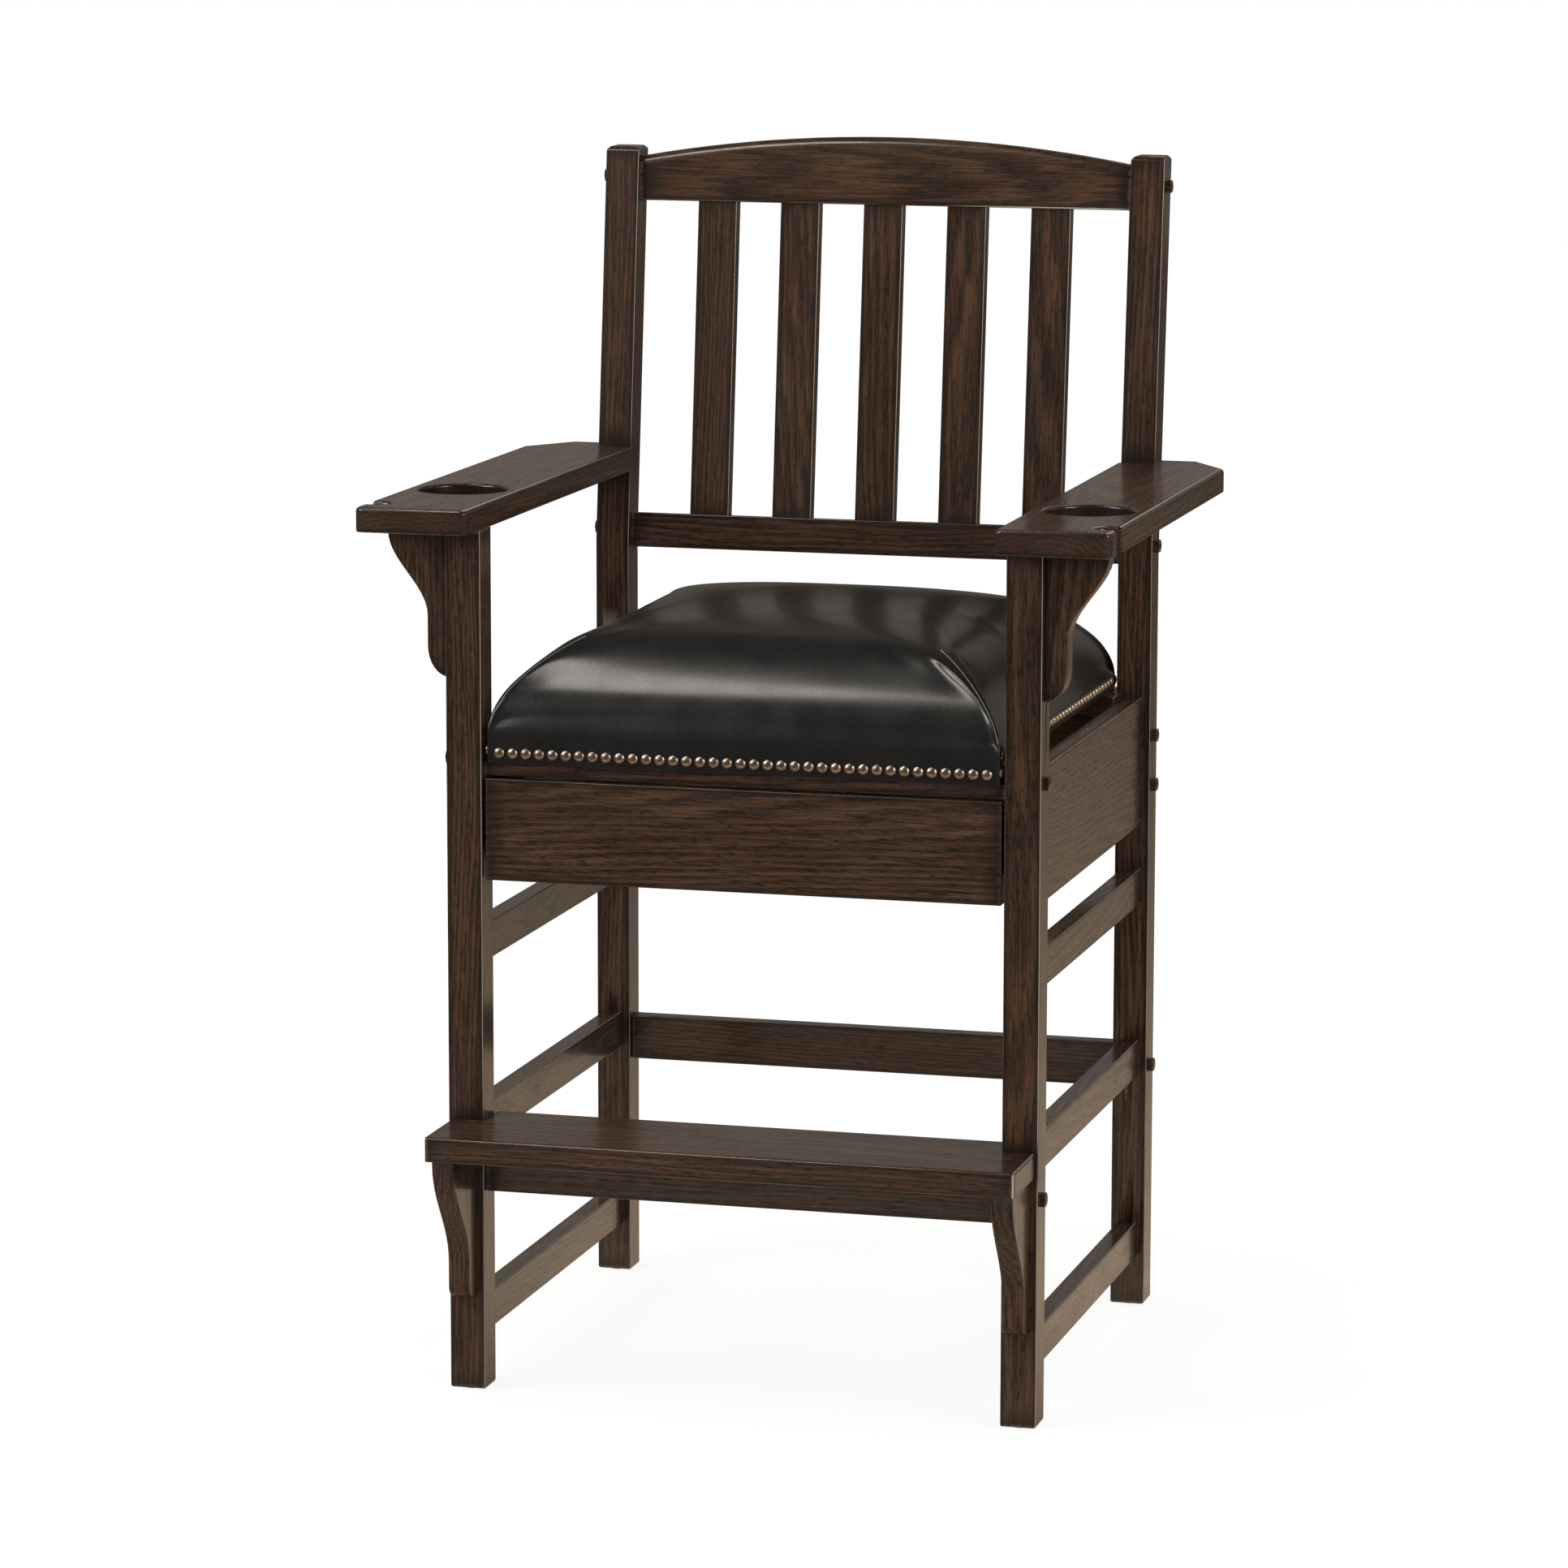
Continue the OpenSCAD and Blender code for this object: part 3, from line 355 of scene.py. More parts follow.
def oak_figure_group():
    """Growth rings, fibres and open pores of a board. Grain runs along the first coordinate."""
    group, (given, gives) = new_group(
        "oak_figure",
        [("Grain", "vector", (0, 0, 0)), ("Ring", "value", OAK_RING), ("Pore", "value", OAK_PORE)],
        [("Rings", "value"), ("Fibres", "value"), ("Pores", "value"), ("Clouds", "value")],
    )
    grain = given.outputs["Grain"]
    slow = vector_node(group, "MULTIPLY", grain, SWAY_SCALE)
    sway = put(group, "TexNoise", {"Vector": slow, "Scale": 1.0, "Detail": 1.5}).outputs["Color"]
    sway = vector_node(group, "SUBTRACT", sway, (0.5, 0.5, 0.5))
    sway = vector_node(group, "MULTIPLY", sway, SWAY)
    bent = vector_node(group, "ADD", grain, sway)
    across = vector_node(group, "MULTIPLY", bent, RING_SCALE)
    reach = vector_node(group, "LENGTH", across)
    count = math_node(group, "DIVIDE", reach, given.outputs["Ring"])
    wobble = noise(group, across, 120.0, 2.0)
    count = math_node(group, "MULTIPLY_ADD", wobble, 1.6, count)
    phase = math_node(group, "FRACT", count)
    late = ramp(group, phase, 0.15, 0.75)
    early = ramp(group, phase, 0.82, 1.0)
    rings = math_node(group, "SUBTRACT", late, early, clamp=True)
    fine = math_node(group, "DIVIDE", 1.0, given.outputs["Pore"])
    fibre_at = vector_node(group, "MULTIPLY", bent, FIBRE_SCALE)
    fibre = put(group, "TexNoise", {"Vector": fibre_at, "Scale": fine, "Detail": 3.0, "Roughness": 0.6})
    pore_at = vector_node(group, "MULTIPLY", bent, PORE_SCALE)
    pore = noise(group, pore_at, fine, 1.0)
    crowd = math_node(group, "MULTIPLY_ADD", rings, 0.11, 0.48)
    dash = math_node(group, "SUBTRACT", pore, crowd)
    pores = ramp(group, dash, 0.0, 0.1)
    cloud_at = vector_node(group, "MULTIPLY", grain, CLOUD_SCALE)
    clouds = noise(group, cloud_at, 1.0, 2.0)
    give(group, gives, {"Rings": rings, "Fibres": fibre.outputs["Fac"], "Pores": pores, "Clouds": clouds})
    return group


def arris_group():
    """How near a point is to its board's edges: glaze and painted shade near them, a painted highlight line
    on them.
    """
    group, (given, gives) = new_group(
        "arris_shade",
        [
            ("Place", "vector", (0, 0, 0)),
            ("Half", "vector", (1, 1, 1)),
            ("Glaze", "value", GLAZE_AND_SHADE_WIDTH),
            ("Line", "value", HIGHLIGHT_LINE_WIDTH),
        ],
        [("Glaze", "value"), ("Worn", "value"), ("End", "value")],
    )
    inside = vector_node(group, "ABSOLUTE", given.outputs["Place"])
    off = vector_node(group, "SUBTRACT", given.outputs["Half"], inside)
    # Glaze and painted shade reach further from the board's ends, where it meets the next board.
    off = vector_node(group, "MULTIPLY", off, (0.3, 1, 1))
    a, b, c = put(group, "SeparateXYZ", {0: off}).outputs
    low = math_node(group, "MINIMUM", a, b)
    high = math_node(group, "MAXIMUM", a, b)
    middle = math_node(group, "MAXIMUM", low, math_node(group, "MINIMUM", high, c))
    uneven = noise(group, given.outputs["Place"], 38.0, 3.0)
    shift = math_node(group, "MULTIPLY_ADD", uneven, 0.9, 0.5)
    width = times(group, given.outputs["Glaze"], shift)
    glaze_and_shade = math_node(group, "SUBTRACT", 1.0, math_node(group, "DIVIDE", middle, width), clamp=True)
    highlight_width = times(group, given.outputs["Line"], shift)
    worn = math_node(group, "SUBTRACT", 1.0, math_node(group, "DIVIDE", middle, highlight_width), clamp=True)
    end = ramp(group, a, 0.0001, 0.0006, 1.0, 0.0)
    give(group, gives, {"Glaze": glaze_and_shade, "Worn": worn, "End": end})
    return group


def leather_grain_group():
    """Fine pebbled hide: cells with soft creases between them, and slow changes of gloss."""
    group, (given, gives) = new_group(
        "leather_grain",
        [("Place", "vector", (0, 0, 0)), ("Cell", "value", HIDE_CELL)],
        [("Height", "value"), ("Creases", "value"), ("Mottle", "value")],
    )
    place = given.outputs["Place"]
    fine = math_node(group, "DIVIDE", 1.0, given.outputs["Cell"])
    cells = put(
        group,
        "TexVoronoi",
        {"Vector": place, "Scale": fine, "Randomness": 1.0},
        feature="DISTANCE_TO_EDGE",
    ).outputs["Distance"]
    creases = ramp(group, cells, 0.0, 0.16, 1.0, 0.0)
    pores = noise(group, place, fine, 3.0)
    height = math_node(group, "MULTIPLY_ADD", creases, -0.6, pores)
    mottle = noise(group, place, 26.0, 4.0)
    give(group, gives, {"Height": height, "Creases": creases, "Mottle": mottle})
    return group


def group_node(tree, group, inputs):
    n = tree.nodes.new("ShaderNodeGroup")
    n.node_tree = group
    for key, value in inputs.items():
        feed(tree, n.inputs[key], value)
    return n.outputs


# Finishes

# The stain on the oak's darker and lighter rings, in its plainer and its redder patches.
STAIN_DARK = rgb(0.045, 0.0240, 0.0130)
STAIN_DARK_RED = rgb(0.047, 0.0232, 0.0122)
STAIN_LIGHT = rgb(0.067, 0.0355, 0.0190)
STAIN_LIGHT_RED = rgb(0.071, 0.0347, 0.0180)
STREAKED = rgb(0.52, 0.50, 0.50)
# Near-black for the pores, the end grain, the glaze and the painted shade.
BLACK_STAIN_AND_SHADE = rgb(0.0055, 0.0042, 0.0036)
# A painted highlight for the arrises.
ARRIS_HIGHLIGHT = rgb(0.2, 0.16, 0.12)
# A lighter painted glint for the arrises facing the front right.
EDGE_GLINT = rgb(0.42, 0.35, 0.28)
# How much near-black the end grain takes, and the glaze and painted shade,
# and how strong the painted highlights on the arrises are.
END_SHARE = 0.3
GLAZE_AND_SHADE_SHARE = 0.82
ARRIS_HIGHLIGHT_SHARE = 0.6
EDGE_GLINT_SHARE = 0.75
SATIN = {"IOR": 1.45, "Coat Weight": 0.35, "Coat Roughness": 0.1}

BIRCH_RING = 6 * MM
BIRCH_PORE = 0.8 * MM
BIRCH_DARK = rgb(0.50, 0.335, 0.195)
BIRCH_LIGHT = rgb(0.60, 0.43, 0.265)
BIRCH_FLECK = rgb(0.3, 0.18, 0.1)

HIDE_DARK = rgb(0.0082, 0.0081, 0.0076)
HIDE_LIGHT = rgb(0.0100, 0.0098, 0.0091)
# Painted shade in the hide's creases.
HIDE_CREASE_SHADE = rgb(0.005, 0.005, 0.005)
POLISH = {"IOR": 1.5, "Coat Weight": 0.25, "Coat Roughness": 0.16}


def dark_oak(figure, arris):
    """Open-pored oak, stained dark walnut and glazed, under a satin lacquer, with painted shade and
    highlights.
    """
    material, tree = new_material("dark_oak")
    grain = attribute(tree, "grain", "Vector")
    soot = attribute(tree, "soot")
    worn = attribute(tree, "worn")
    oak = group_node(tree, figure, {"Grain": grain})
    where = {"Place": attribute(tree, "place", "Vector"), "Half": attribute(tree, "half", "Vector")}
    edge = group_node(tree, arris, where)
    patch = noise(tree, vector_node(tree, "MULTIPLY", grain, PATCH_SCALE), 1.0, 2.0)
    red = ramp(tree, patch, 0.40, 0.64)
    dark = blend_colour(tree, red, STAIN_DARK, STAIN_DARK_RED)
    light = blend_colour(tree, red, STAIN_LIGHT, STAIN_LIGHT_RED)
    stain = blend_colour(tree, oak["Rings"], dark, light)
    streaked = blend_colour(tree, 1.0, stain, STREAKED, "MULTIPLY")
    stain = blend_colour(tree, ramp(tree, oak["Fibres"], 0.34, 0.64), streaked, stain)
    stain = scaled(tree, stain, ramp(tree, oak["Clouds"], 0.32, 0.7, 0.9, 1.12))
    open_pores = times(tree, oak["Pores"], ramp(tree, edge["End"], 0.0, 1.0, 0.8, 0.25))
    stain = blend_colour(tree, open_pores, stain, BLACK_STAIN_AND_SHADE)
    # End grain drinks more of the stain.
    stain = blend_colour(tree, times(tree, edge["End"], END_SHARE), stain, BLACK_STAIN_AND_SHADE)
    # Glaze and painted shade near the edges, and painted shade at the joints and in the drink hole.
    glaze_and_shade = math_node(tree, "MAXIMUM", edge["Glaze"], soot)
    stain = blend_colour(tree, times(tree, glaze_and_shade, GLAZE_AND_SHADE_SHARE), stain, BLACK_STAIN_AND_SHADE)
    # A painted highlight line along the arrises, weaker where painted shade lies.
    arris_line = times(tree, edge["Worn"], ramp(tree, oak["Fibres"], 0.35, 0.6))
    highlight_share = math_node(tree, "SUBTRACT", worn, soot, clamp=True)
    arris_line = times(tree, times(tree, arris_line, highlight_share), ARRIS_HIGHLIGHT_SHARE)
    stain = blend_colour(tree, arris_line, stain, ARRIS_HIGHLIGHT)
    # Painted glints on the arrises facing the front right and on roundings turning from the top to the right.
    out, ahead, up = put(tree, "SeparateXYZ", {0: put(tree, "NewGeometry").outputs["Normal"]}).outputs
    corner = math_node(tree, "MINIMUM", out, times(tree, ahead, -1.0))
    corner = times(tree, ramp(tree, corner, 0.42, 0.62), ramp(tree, worn, 0.8, 1.0))
    brow = times(tree, ramp(tree, up, 0.80, 0.9), ramp(tree, up, 0.96, 0.99, 1.0, 0.0))
    brow = times(tree, brow, ramp(tree, out, 0.12, 0.25))
    uneven = ramp(tree, oak["Fibres"], 0.2, 0.4, 0.6, 1.0)
    edge_glint = times(tree, math_node(tree, "MAXIMUM", corner, brow), uneven)
    edge_glint = times(tree, edge_glint, times(tree, highlight_share, EDGE_GLINT_SHARE))
    stain = blend_colour(tree, edge_glint, stain, EDGE_GLINT)
    sheen = ramp(tree, oak["Clouds"], *NOISE, 0.2, 0.27)
    rough = math_node(tree, "MULTIPLY_ADD", oak["Pores"], 0.12, sheen)
    height = math_node(tree, "SUBTRACT", times(tree, oak["Fibres"], 0.35), oak["Pores"])
    return surfaced(material, tree, stain, rough, bumps(tree, height, 0.09, 0.4 * MM), SATIN)


def pale_birch(figure, name, along_board):
    """Planed birch for what hides inside: the drawer's box, the seat's board and lip, dowels and packers."""
    material, tree = new_material(name)
    if along_board:
        grain = attribute(tree, "grain", "Vector")
    else:
        grain = put(tree, "TexCoord").outputs["Object"]
    birch = group_node(tree, figure, {"Grain": grain, "Ring": BIRCH_RING, "Pore": BIRCH_PORE})
    tone = blend_colour(tree, birch["Rings"], BIRCH_DARK, BIRCH_LIGHT)
    tone = scaled(tree, tone, ramp(tree, birch["Fibres"], *NOISE, 0.9, 1.05))
    tone = blend_colour(tree, times(tree, birch["Pores"], 0.15), tone, BIRCH_FLECK)
    rough = ramp(tree, birch["Clouds"], *NOISE, 0.42, 0.55)
    return surfaced(material, tree, tone, rough, bumps(tree, birch["Fibres"], 0.12, 0.3 * MM))


def black_leather(grain_group):
    """Smooth black upholstery hide, polished on its crown."""
    material, tree = new_material("black_leather")
    hide = group_node(tree, grain_group, {"Place": put(tree, "TexCoord").outputs["Object"]})
    tone = blend_colour(tree, ramp(tree, hide["Mottle"], *NOISE), HIDE_DARK, HIDE_LIGHT)
    # Painted shade in the grain's creases.
    tone = blend_colour(tree, times(tree, hide["Creases"], 0.35), tone, HIDE_CREASE_SHADE)
    rough = ramp(tree, hide["Mottle"], *NOISE, 0.23, 0.28)
    rough = math_node(tree, "MULTIPLY_ADD", hide["Creases"], 0.05, rough)
    return surfaced(material, tree, tone, rough, bumps(tree, hide["Height"], 0.05, 0.2 * MM), POLISH)


def metal(name, bright, dull, low, high, scale=300.0, stretch=(1, 1, 1)):
    """A metal whose tone and polish change a little over the surface."""
    material, tree = new_material(name)
    place = vector_node(tree, "MULTIPLY", put(tree, "TexCoord").outputs["Object"], stretch)
    wear = noise(tree, place, scale, 4.0)
    tone = blend_colour(tree, ramp(tree, wear, 0.35, 0.65), dull, bright)
    rough = ramp(tree, wear, *NOISE, high, low)
    return surfaced(material, tree, tone, rough, bumps(tree, wear, 0.08, 0.1 * MM), {"Metallic": 1.0})


def plain_finish(name, light, dark, rough, scale):
    """Nylon and thread: two close tones in fine patches."""
    material, tree = new_material(name)
    patch = noise(tree, put(tree, "TexCoord").outputs["Object"], scale, 3.0)
    tone = blend_colour(tree, ramp(tree, patch, 0.35, 0.65), dark, light)
    patchy = ramp(tree, patch, *NOISE, rough, rough + 0.12)
    return surfaced(material, tree, tone, patchy, bumps(tree, patch, 0.2, 0.3 * MM))


# Boards

# CAD corners within this distance are one corner.
WELD = 2e-6
# Seams flatter than this are taken out, edges sharper than the next are arrises, and shading
# breaks at edges sharper than the last.
FLAT = math.radians(0.2)
ARRIS = math.radians(38)
SHARP = math.radians(30)
# The usual rounding of an arris, and the least length of an edge that gets it, in roundings.
EASE = 1.4 * MM
LEAST_RUN = 6
# How far painted shade reaches from the joints at the arms and footrest, and from the drink hole's wall.
ARM_SHADE_REACH = 26 * MM
FOOT_SHADE_REACH = 18 * MM
CUP_SHADE_REACH = 2.6 * MM


def baked(ob):
    """The object with its modifiers applied, as a plain mesh."""
    bpy.context.view_layer.update()
    graph = bpy.context.evaluated_depsgraph_get()
    shown = ob.evaluated_get(graph)
    mesh = bpy.data.meshes.new_from_object(shown, preserve_all_data_layers=True, depsgraph=graph)
    old = ob.data
    ob.modifiers.clear()
    ob.data = mesh
    bpy.data.meshes.remove(old)
    return ob


def eased_copy(node, name, ease, weight=None, segments=3, joints=()):
    """A CAD board with its outer arrises rounded. weight(edge) gives each edge's share of ease.
    joints gives heights, low, high and reach, where rows of points are cut for the painted shade."""
    bm = bmesh.new()
    bm.from_mesh(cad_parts[node].data)
    bmesh.ops.remove_doubles(bm, verts=bm.verts, dist=WELD)
    bmesh.ops.dissolve_limit(bm, angle_limit=FLAT, verts=bm.verts, edges=bm.edges)
    for low, high, reach in joints:
        for z in (low - reach, low, high, high + reach):
            everything = bm.verts[:] + bm.edges[:] + bm.faces[:]
            bmesh.ops.bisect_plane(bm, geom=everything, plane_co=(0, 0, z), plane_no=(0, 0, 1))
    layer = bm.edges.layers.float.new("bevel_weight_edge")
    for edge in bm.edges:
        if len(edge.link_faces) == 2 and edge.is_convex and edge.calc_face_angle(0) > ARRIS:
            edge[layer] = weight(edge) if weight else float(edge.calc_length() > LEAST_RUN * ease)
    mesh = bpy.data.meshes.new(name)
    bm.to_mesh(mesh)
    bm.free()
    mesh.shade_smooth()
    mesh.set_sharp_from_angle(angle=SHARP)
    ob = link(mesh, name)
    bevel = ob.modifiers.new("arris", "BEVEL")
    bevel.limit_method = "WEIGHT"
    bevel.width = ease
    bevel.segments = segments
    bevel.use_clamp_overlap = False
    bevel.harden_normals = True
    return baked(ob)


def leaning(point):
    """A point of the leaning back, turned upright about the bend of the posts."""
    pivot = Vector((0, POST_FRONT, BEND_Z))
    return Matrix.Rotation(LEAN, 3, "X") @ (point - pivot) + pivot


def along_post(point):
    """A point of a bent rear post, with the post straightened."""
    return leaning(point) if point.z > BEND_Z else point


def plain(point):
    return point


TURNS = {"X": (0, 1, 2), "Y": (1, 0, 2), "Z": (2, 0, 1)}
# How far from the heart of the tree a board is sawn.
PITH_REACH = (0.05, 0.12)


def mark_grain(ob, axis, upright=plain, ends=None, pith=None, joints=(), sooty=None, worn=1.0):
    """Writes where each point lies in its board: grain first, then across, and the board's half sizes.
    joints gives painted shade round the joints, as lower and upper height and reach, the function after it
    more painted shade by point, and the last argument how strong the painted arris highlights are."""
    turn = TURNS[axis]
    points = [upright(v.co) for v in ob.data.vertices]
    places = [Vector((p[turn[0]], p[turn[1]], p[turn[2]])) for p in points]
    low, high = span(places)
    if ends:
        low[0], high[0] = ends
    middle = (low + high) / 2
    half = (high - low) / 2
    chance = random.Random(ob.name)
    angle = chance.uniform(0, 2 * math.pi)
    reach = chance.uniform(*PITH_REACH)
    away = pith or (reach * math.cos(angle), reach * math.sin(angle))
    offset = Vector((chance.uniform(-4, 4), away[0], away[1]))
    layers = {
        "grain": [p - middle + offset for p in places],
        "place": [p - middle for p in places],
        "half": [half] * len(places),
    }
    for name, values in layers.items():
        layer = ob.data.attributes.new(name, "FLOAT_VECTOR", "POINT")
        layer.data.foreach_set("vector", [c for v in values for c in v])
    soot = [sooty(v.co) if sooty else 0.0 for v in ob.data.vertices]
    for base, top, fade in joints:
        for i, v in enumerate(ob.data.vertices):
            clear = max(base - v.co.z, v.co.z - top, 0)
            soot[i] = max(soot[i], 1 - clear / fade)
    for name, values in (("soot", soot), ("worn", [worn] * len(soot))):
        ob.data.attributes.new(name, "FLOAT", "POINT").data.foreach_set("value", values)


def dress(ob, material, slot, body="frame"):
    ob.data.materials.clear()
    ob.data.materials.append(material)
    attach(ob, body)


def board(node, name, axis, finish, ease=EASE, body="frame", weight=None, segments=3, joints=(), **grain):
    """A CAD board replaced by its eased, grained copy."""
    ob = eased_copy(node, name, ease, weight, segments, joints)
    mark_grain(ob, axis, joints=joints, **grain)
    dress(ob, finish["material"], finish["slot"], body)
    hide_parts(node)


# How far the middle of the drink hole lies behind the leg's front, and its radius.
CUP_BACK = 120 * MM
CUP_R = 45 * MM


def from_cup(node):
    """How far a point lies outside the wall of an arm's drink hole."""
    low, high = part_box(node)
    middle = (low.x + high.x) / 2
    return lambda p: math.hypot(p.x - middle, p.y - LEG_FRONT - CUP_BACK) - CUP_R


def arm_weight(node):
    """The arm's top arris is well rounded, its underside less, and its drink hole softly."""
    low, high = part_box(node)
    outside = from_cup(node)

    def weight(edge):
        a, b = edge.verts
        mid = middle_of(edge)
        if edge.calc_length() < NEAR:
            return 0.0
        if mid.y > POST_FRONT - NEAR and abs(mid.x) < LEG_OUT + NEAR:
            return 0.0
        if abs(a.co.z - b.co.z) > 5 * MM:
            return 0.8 if mid.y < LEG_FRONT + 10 * MM else 0.3
        if outside(mid) < NEAR:
            return 0.7
        return 1.0 if mid.z > (low.z + high.z) / 2 else 0.4

    return weight


# The lowest height of the crest rail, and how far above it the arched edge starts.
CREST_LOW = min(leaning(v.co).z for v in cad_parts["crest_rail"].data.vertices)
CREST_STRAIGHT = 35 * MM


def crest_weight(edge):
    """The crest rail's arched front arris is rounded over most, then its back one."""
    mid = leaning(middle_of(edge))
    inner = abs(mid.x) < LEG_IN - NEAR
    if mid.z > CREST_LOW + CREST_STRAIGHT and inner:
        return 1.0 if mid.y < POST_FRONT + LEG / 2 else 0.4
    return 0.12 if edge.calc_length() > 12 * MM and inner else 0.0


# Edges shorter than this belong to the sockets of the plugs.
SOCKET_RIM = 14 * MM


def leg_weight(edge):
    """Legs stand on chamfered feet. The rims of the plugs' sockets, all short, stay sharp."""
    a, b = edge.verts
    if edge.calc_length() < SOCKET_RIM:
        return 0.0
    foot = min(a.co.z, b.co.z) < front_leg[0].z + NEAR and abs(a.co.z - b.co.z) < NEAR
    return 1.0 if foot else 0.5


def bracket_weight(edge):
    """Every arris of an ogee bracket is eased, the short ones of its curves too."""
    return float(edge.calc_length() > 1.5 * MM)


def footrest_weight(edge):
    """Feet have rounded the footrest's front top arris."""
    mid = middle_of(edge)
    if edge.calc_length() < 8 * MM:
        return 0.0
    low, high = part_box("footrest_board")
    top = mid.z > (low.z + high.z) / 2
    if mid.y < low.y + 2 * MM and top:
        return 1.0
    return 0.5 if top else 0.3


# Each CAD node with the name of its board: the rails of one side, then those across the chair.
SIDE_RAILS = (
    ("side_apron", "seat_side"),
    ("stretcher_upper", "upper_stretcher"),
    ("stretcher_middle", "middle_stretcher"),
    ("stretcher_lower", "lower_stretcher"),
)
CROSS_RAILS = (
    ("rear_apron", "seat_back_rail"),
    ("front_seat_rail", "seat_front_rail"),
    ("rear_stretcher", "back_stretcher"),
    ("foot_rail", "footrest_rail"),
    ("corner_blocks", "seat_corner_blocks"),
)
# The boards of the drawer's box, with the way that their grain runs.
DRAWER_BOX = (
    ("drawer_inner_front", "X"),
    ("drawer_side_left", "Y"),
    ("drawer_side_right", "Y"),
    ("drawer_back", "X"),
    ("drawer_bottom", "X"),
)
SLATS = 5
# Where the heart of the tree lies from the middle of a board, across and up.
ARM_PITH = (0.012, 0.09)
DRAWER_PITH = (0.012, -0.055)
# How strong the painted arris highlights are on each arm.
ARM_HIGHLIGHT = {"left": 0.1, "right": 0.7}


def make_boards(oak, birch):
    low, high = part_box("arm_right")
    foot_low, foot_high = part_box("footrest_board")
    # Painted shade on the posts round the arms, and on the front legs round the footrest.
    at_arm = [(low.z, high.z, ARM_SHADE_REACH)]
    at_foot = [(foot_low.z, foot_high.z, FOOT_SHADE_REACH)]
    leg = {"ease": 2.6 * MM, "weight": leg_weight}
    # Brackets, plugs and the drawer's face get fainter painted arris highlights.
    bracket = {"weight": bracket_weight, "worn": 0.3}
    for side in SIDES:
        board("front_leg_" + side, side + "_front_leg", "Z", oak, joints=at_foot, **leg)
        board("rear_post_" + side, side + "_rear_post", "Z", oak, upright=along_post, joints=at_arm, **leg)
        arm = "arm_" + side
        rim = from_cup(arm)
        top = {"ease": 4.5 * MM, "weight": arm_weight(arm), "segments": 5, "pith": ARM_PITH}
        top["worn"] = ARM_HIGHLIGHT[side]
        # Painted shade down the wall of the drink hole and round its rim.
        board(arm, side + "_arm", "Y", oak, sooty=lambda p: 1 - rim(p) / CUP_SHADE_REACH, **top)
        board("arm_corbel_" + side, side + "_arm_bracket", "Z", oak, ease=1.6 * MM, **bracket)
        board("foot_corbel_" + side, side + "_foot_bracket", "Z", oak, ease=1.8 * MM, **bracket)
        for node, name in SIDE_RAILS:
            board(node + "_" + side, side + "_" + name, "Y", oak, ends=(LEG_BACK, POST_FRONT))
    board("crest_rail", "crest", "X", oak, ease=11 * MM, weight=crest_weight, segments=6, upright=leaning)
    board("lower_back_rail", "lower_back", "X", oak, upright=leaning)
    for i in range(1, SLATS + 1):
        board("back_slat_%d" % i, "slat_%d" % i, "Z", oak, ease=1.2 * MM, upright=leaning)
    for node, name in CROSS_RAILS:
        board(node, name, "X", oak)
    board("footrest_board", "footrest", "X", oak, ease=4.5 * MM, weight=footrest_weight, segments=4)
    board("bolt_plugs", "square_plugs", "X", oak, ease=1 * MM, worn=0.1)
    face = {"ease": 1.6 * MM, "body": "drawer", "pith": DRAWER_PITH, "worn": 0.25}
    board("drawer_front", "drawer_face", "X", oak, **face)
    for node, axis in DRAWER_BOX:
        board(node, node + "_board", axis, birch, ease=0.8 * MM, body="drawer")
    for node in ("seat_board", "seat_lip"):
        board(node, node + "_wood", "X", birch, ease=0.6 * MM)


# Seat

# The crown's rise: the power of its fall to the sides, and that of its shoulder, before and after stuffing.
CROWN_FULL = 2.7
CROWN_ROUND_SLACK = 0.46
# How far stuffing lifts the crown, and the most that any point moves.
STUFFING = 5.5 * MM
SWELL = 5 * MM
SWELL_STEPS = 20
# The wall above the board, the lift of the hem beside and behind the front skirt, and the rounded corners.
WALL = 2 * MM
HEM_LIFT = 19 * MM
SEAT_CORNER = 3 * MM
CORNER_STEPS = 8
SMALLEST_RADIUS = 0.8 * MM
# A seam runs this far in from its corner. Rows of points are cut beside it, at these distances in mm.
SEAM_END = 80 * MM
SEAM_HALF = 14 * MM
SEAM_ROWS = (-3.4, -2.1, -1.2, -0.5, 0.0, 0.5, 1.2, 2.1, 3.4)
# The seam fades in over this from its corner, and out before its end.
SEAM_FADE_IN = 6 * MM
SEAM_FADE_OUT = 14 * MM
# In mm: the depth and width of the seam's dip, and the height, place and width of the swell beside it.
SEAM_DIP = -0.6
DIP_WIDTH = 0.8
SEAM_SWELL = 0.18
FULL_AT = 2.1
FULL_WIDTH = 1.1
# The stitches: their spacing, half sizes and lift, and the steps in which a seam is followed.
STITCH = 2.6 * MM
STITCH_RADIUS = 0.5 * MM
STITCH_REACH = STITCH * 0.52
STITCH_LIFT = 0.1 * MM
SEAM_WALK = 0.2 * MM
# Rows of points from the edge to the crown: the first step, its growth, its limit, and how far in they go.
FIRST_STEP = 0.1 * MM
STEP_GROWTH = 1.45
LAST_STEP = 11 * MM
CROWN_EDGE = 0.95
# Points along a side keep this share of it clear beside the end of the front skirt.
SHARE_GAP = 0.004


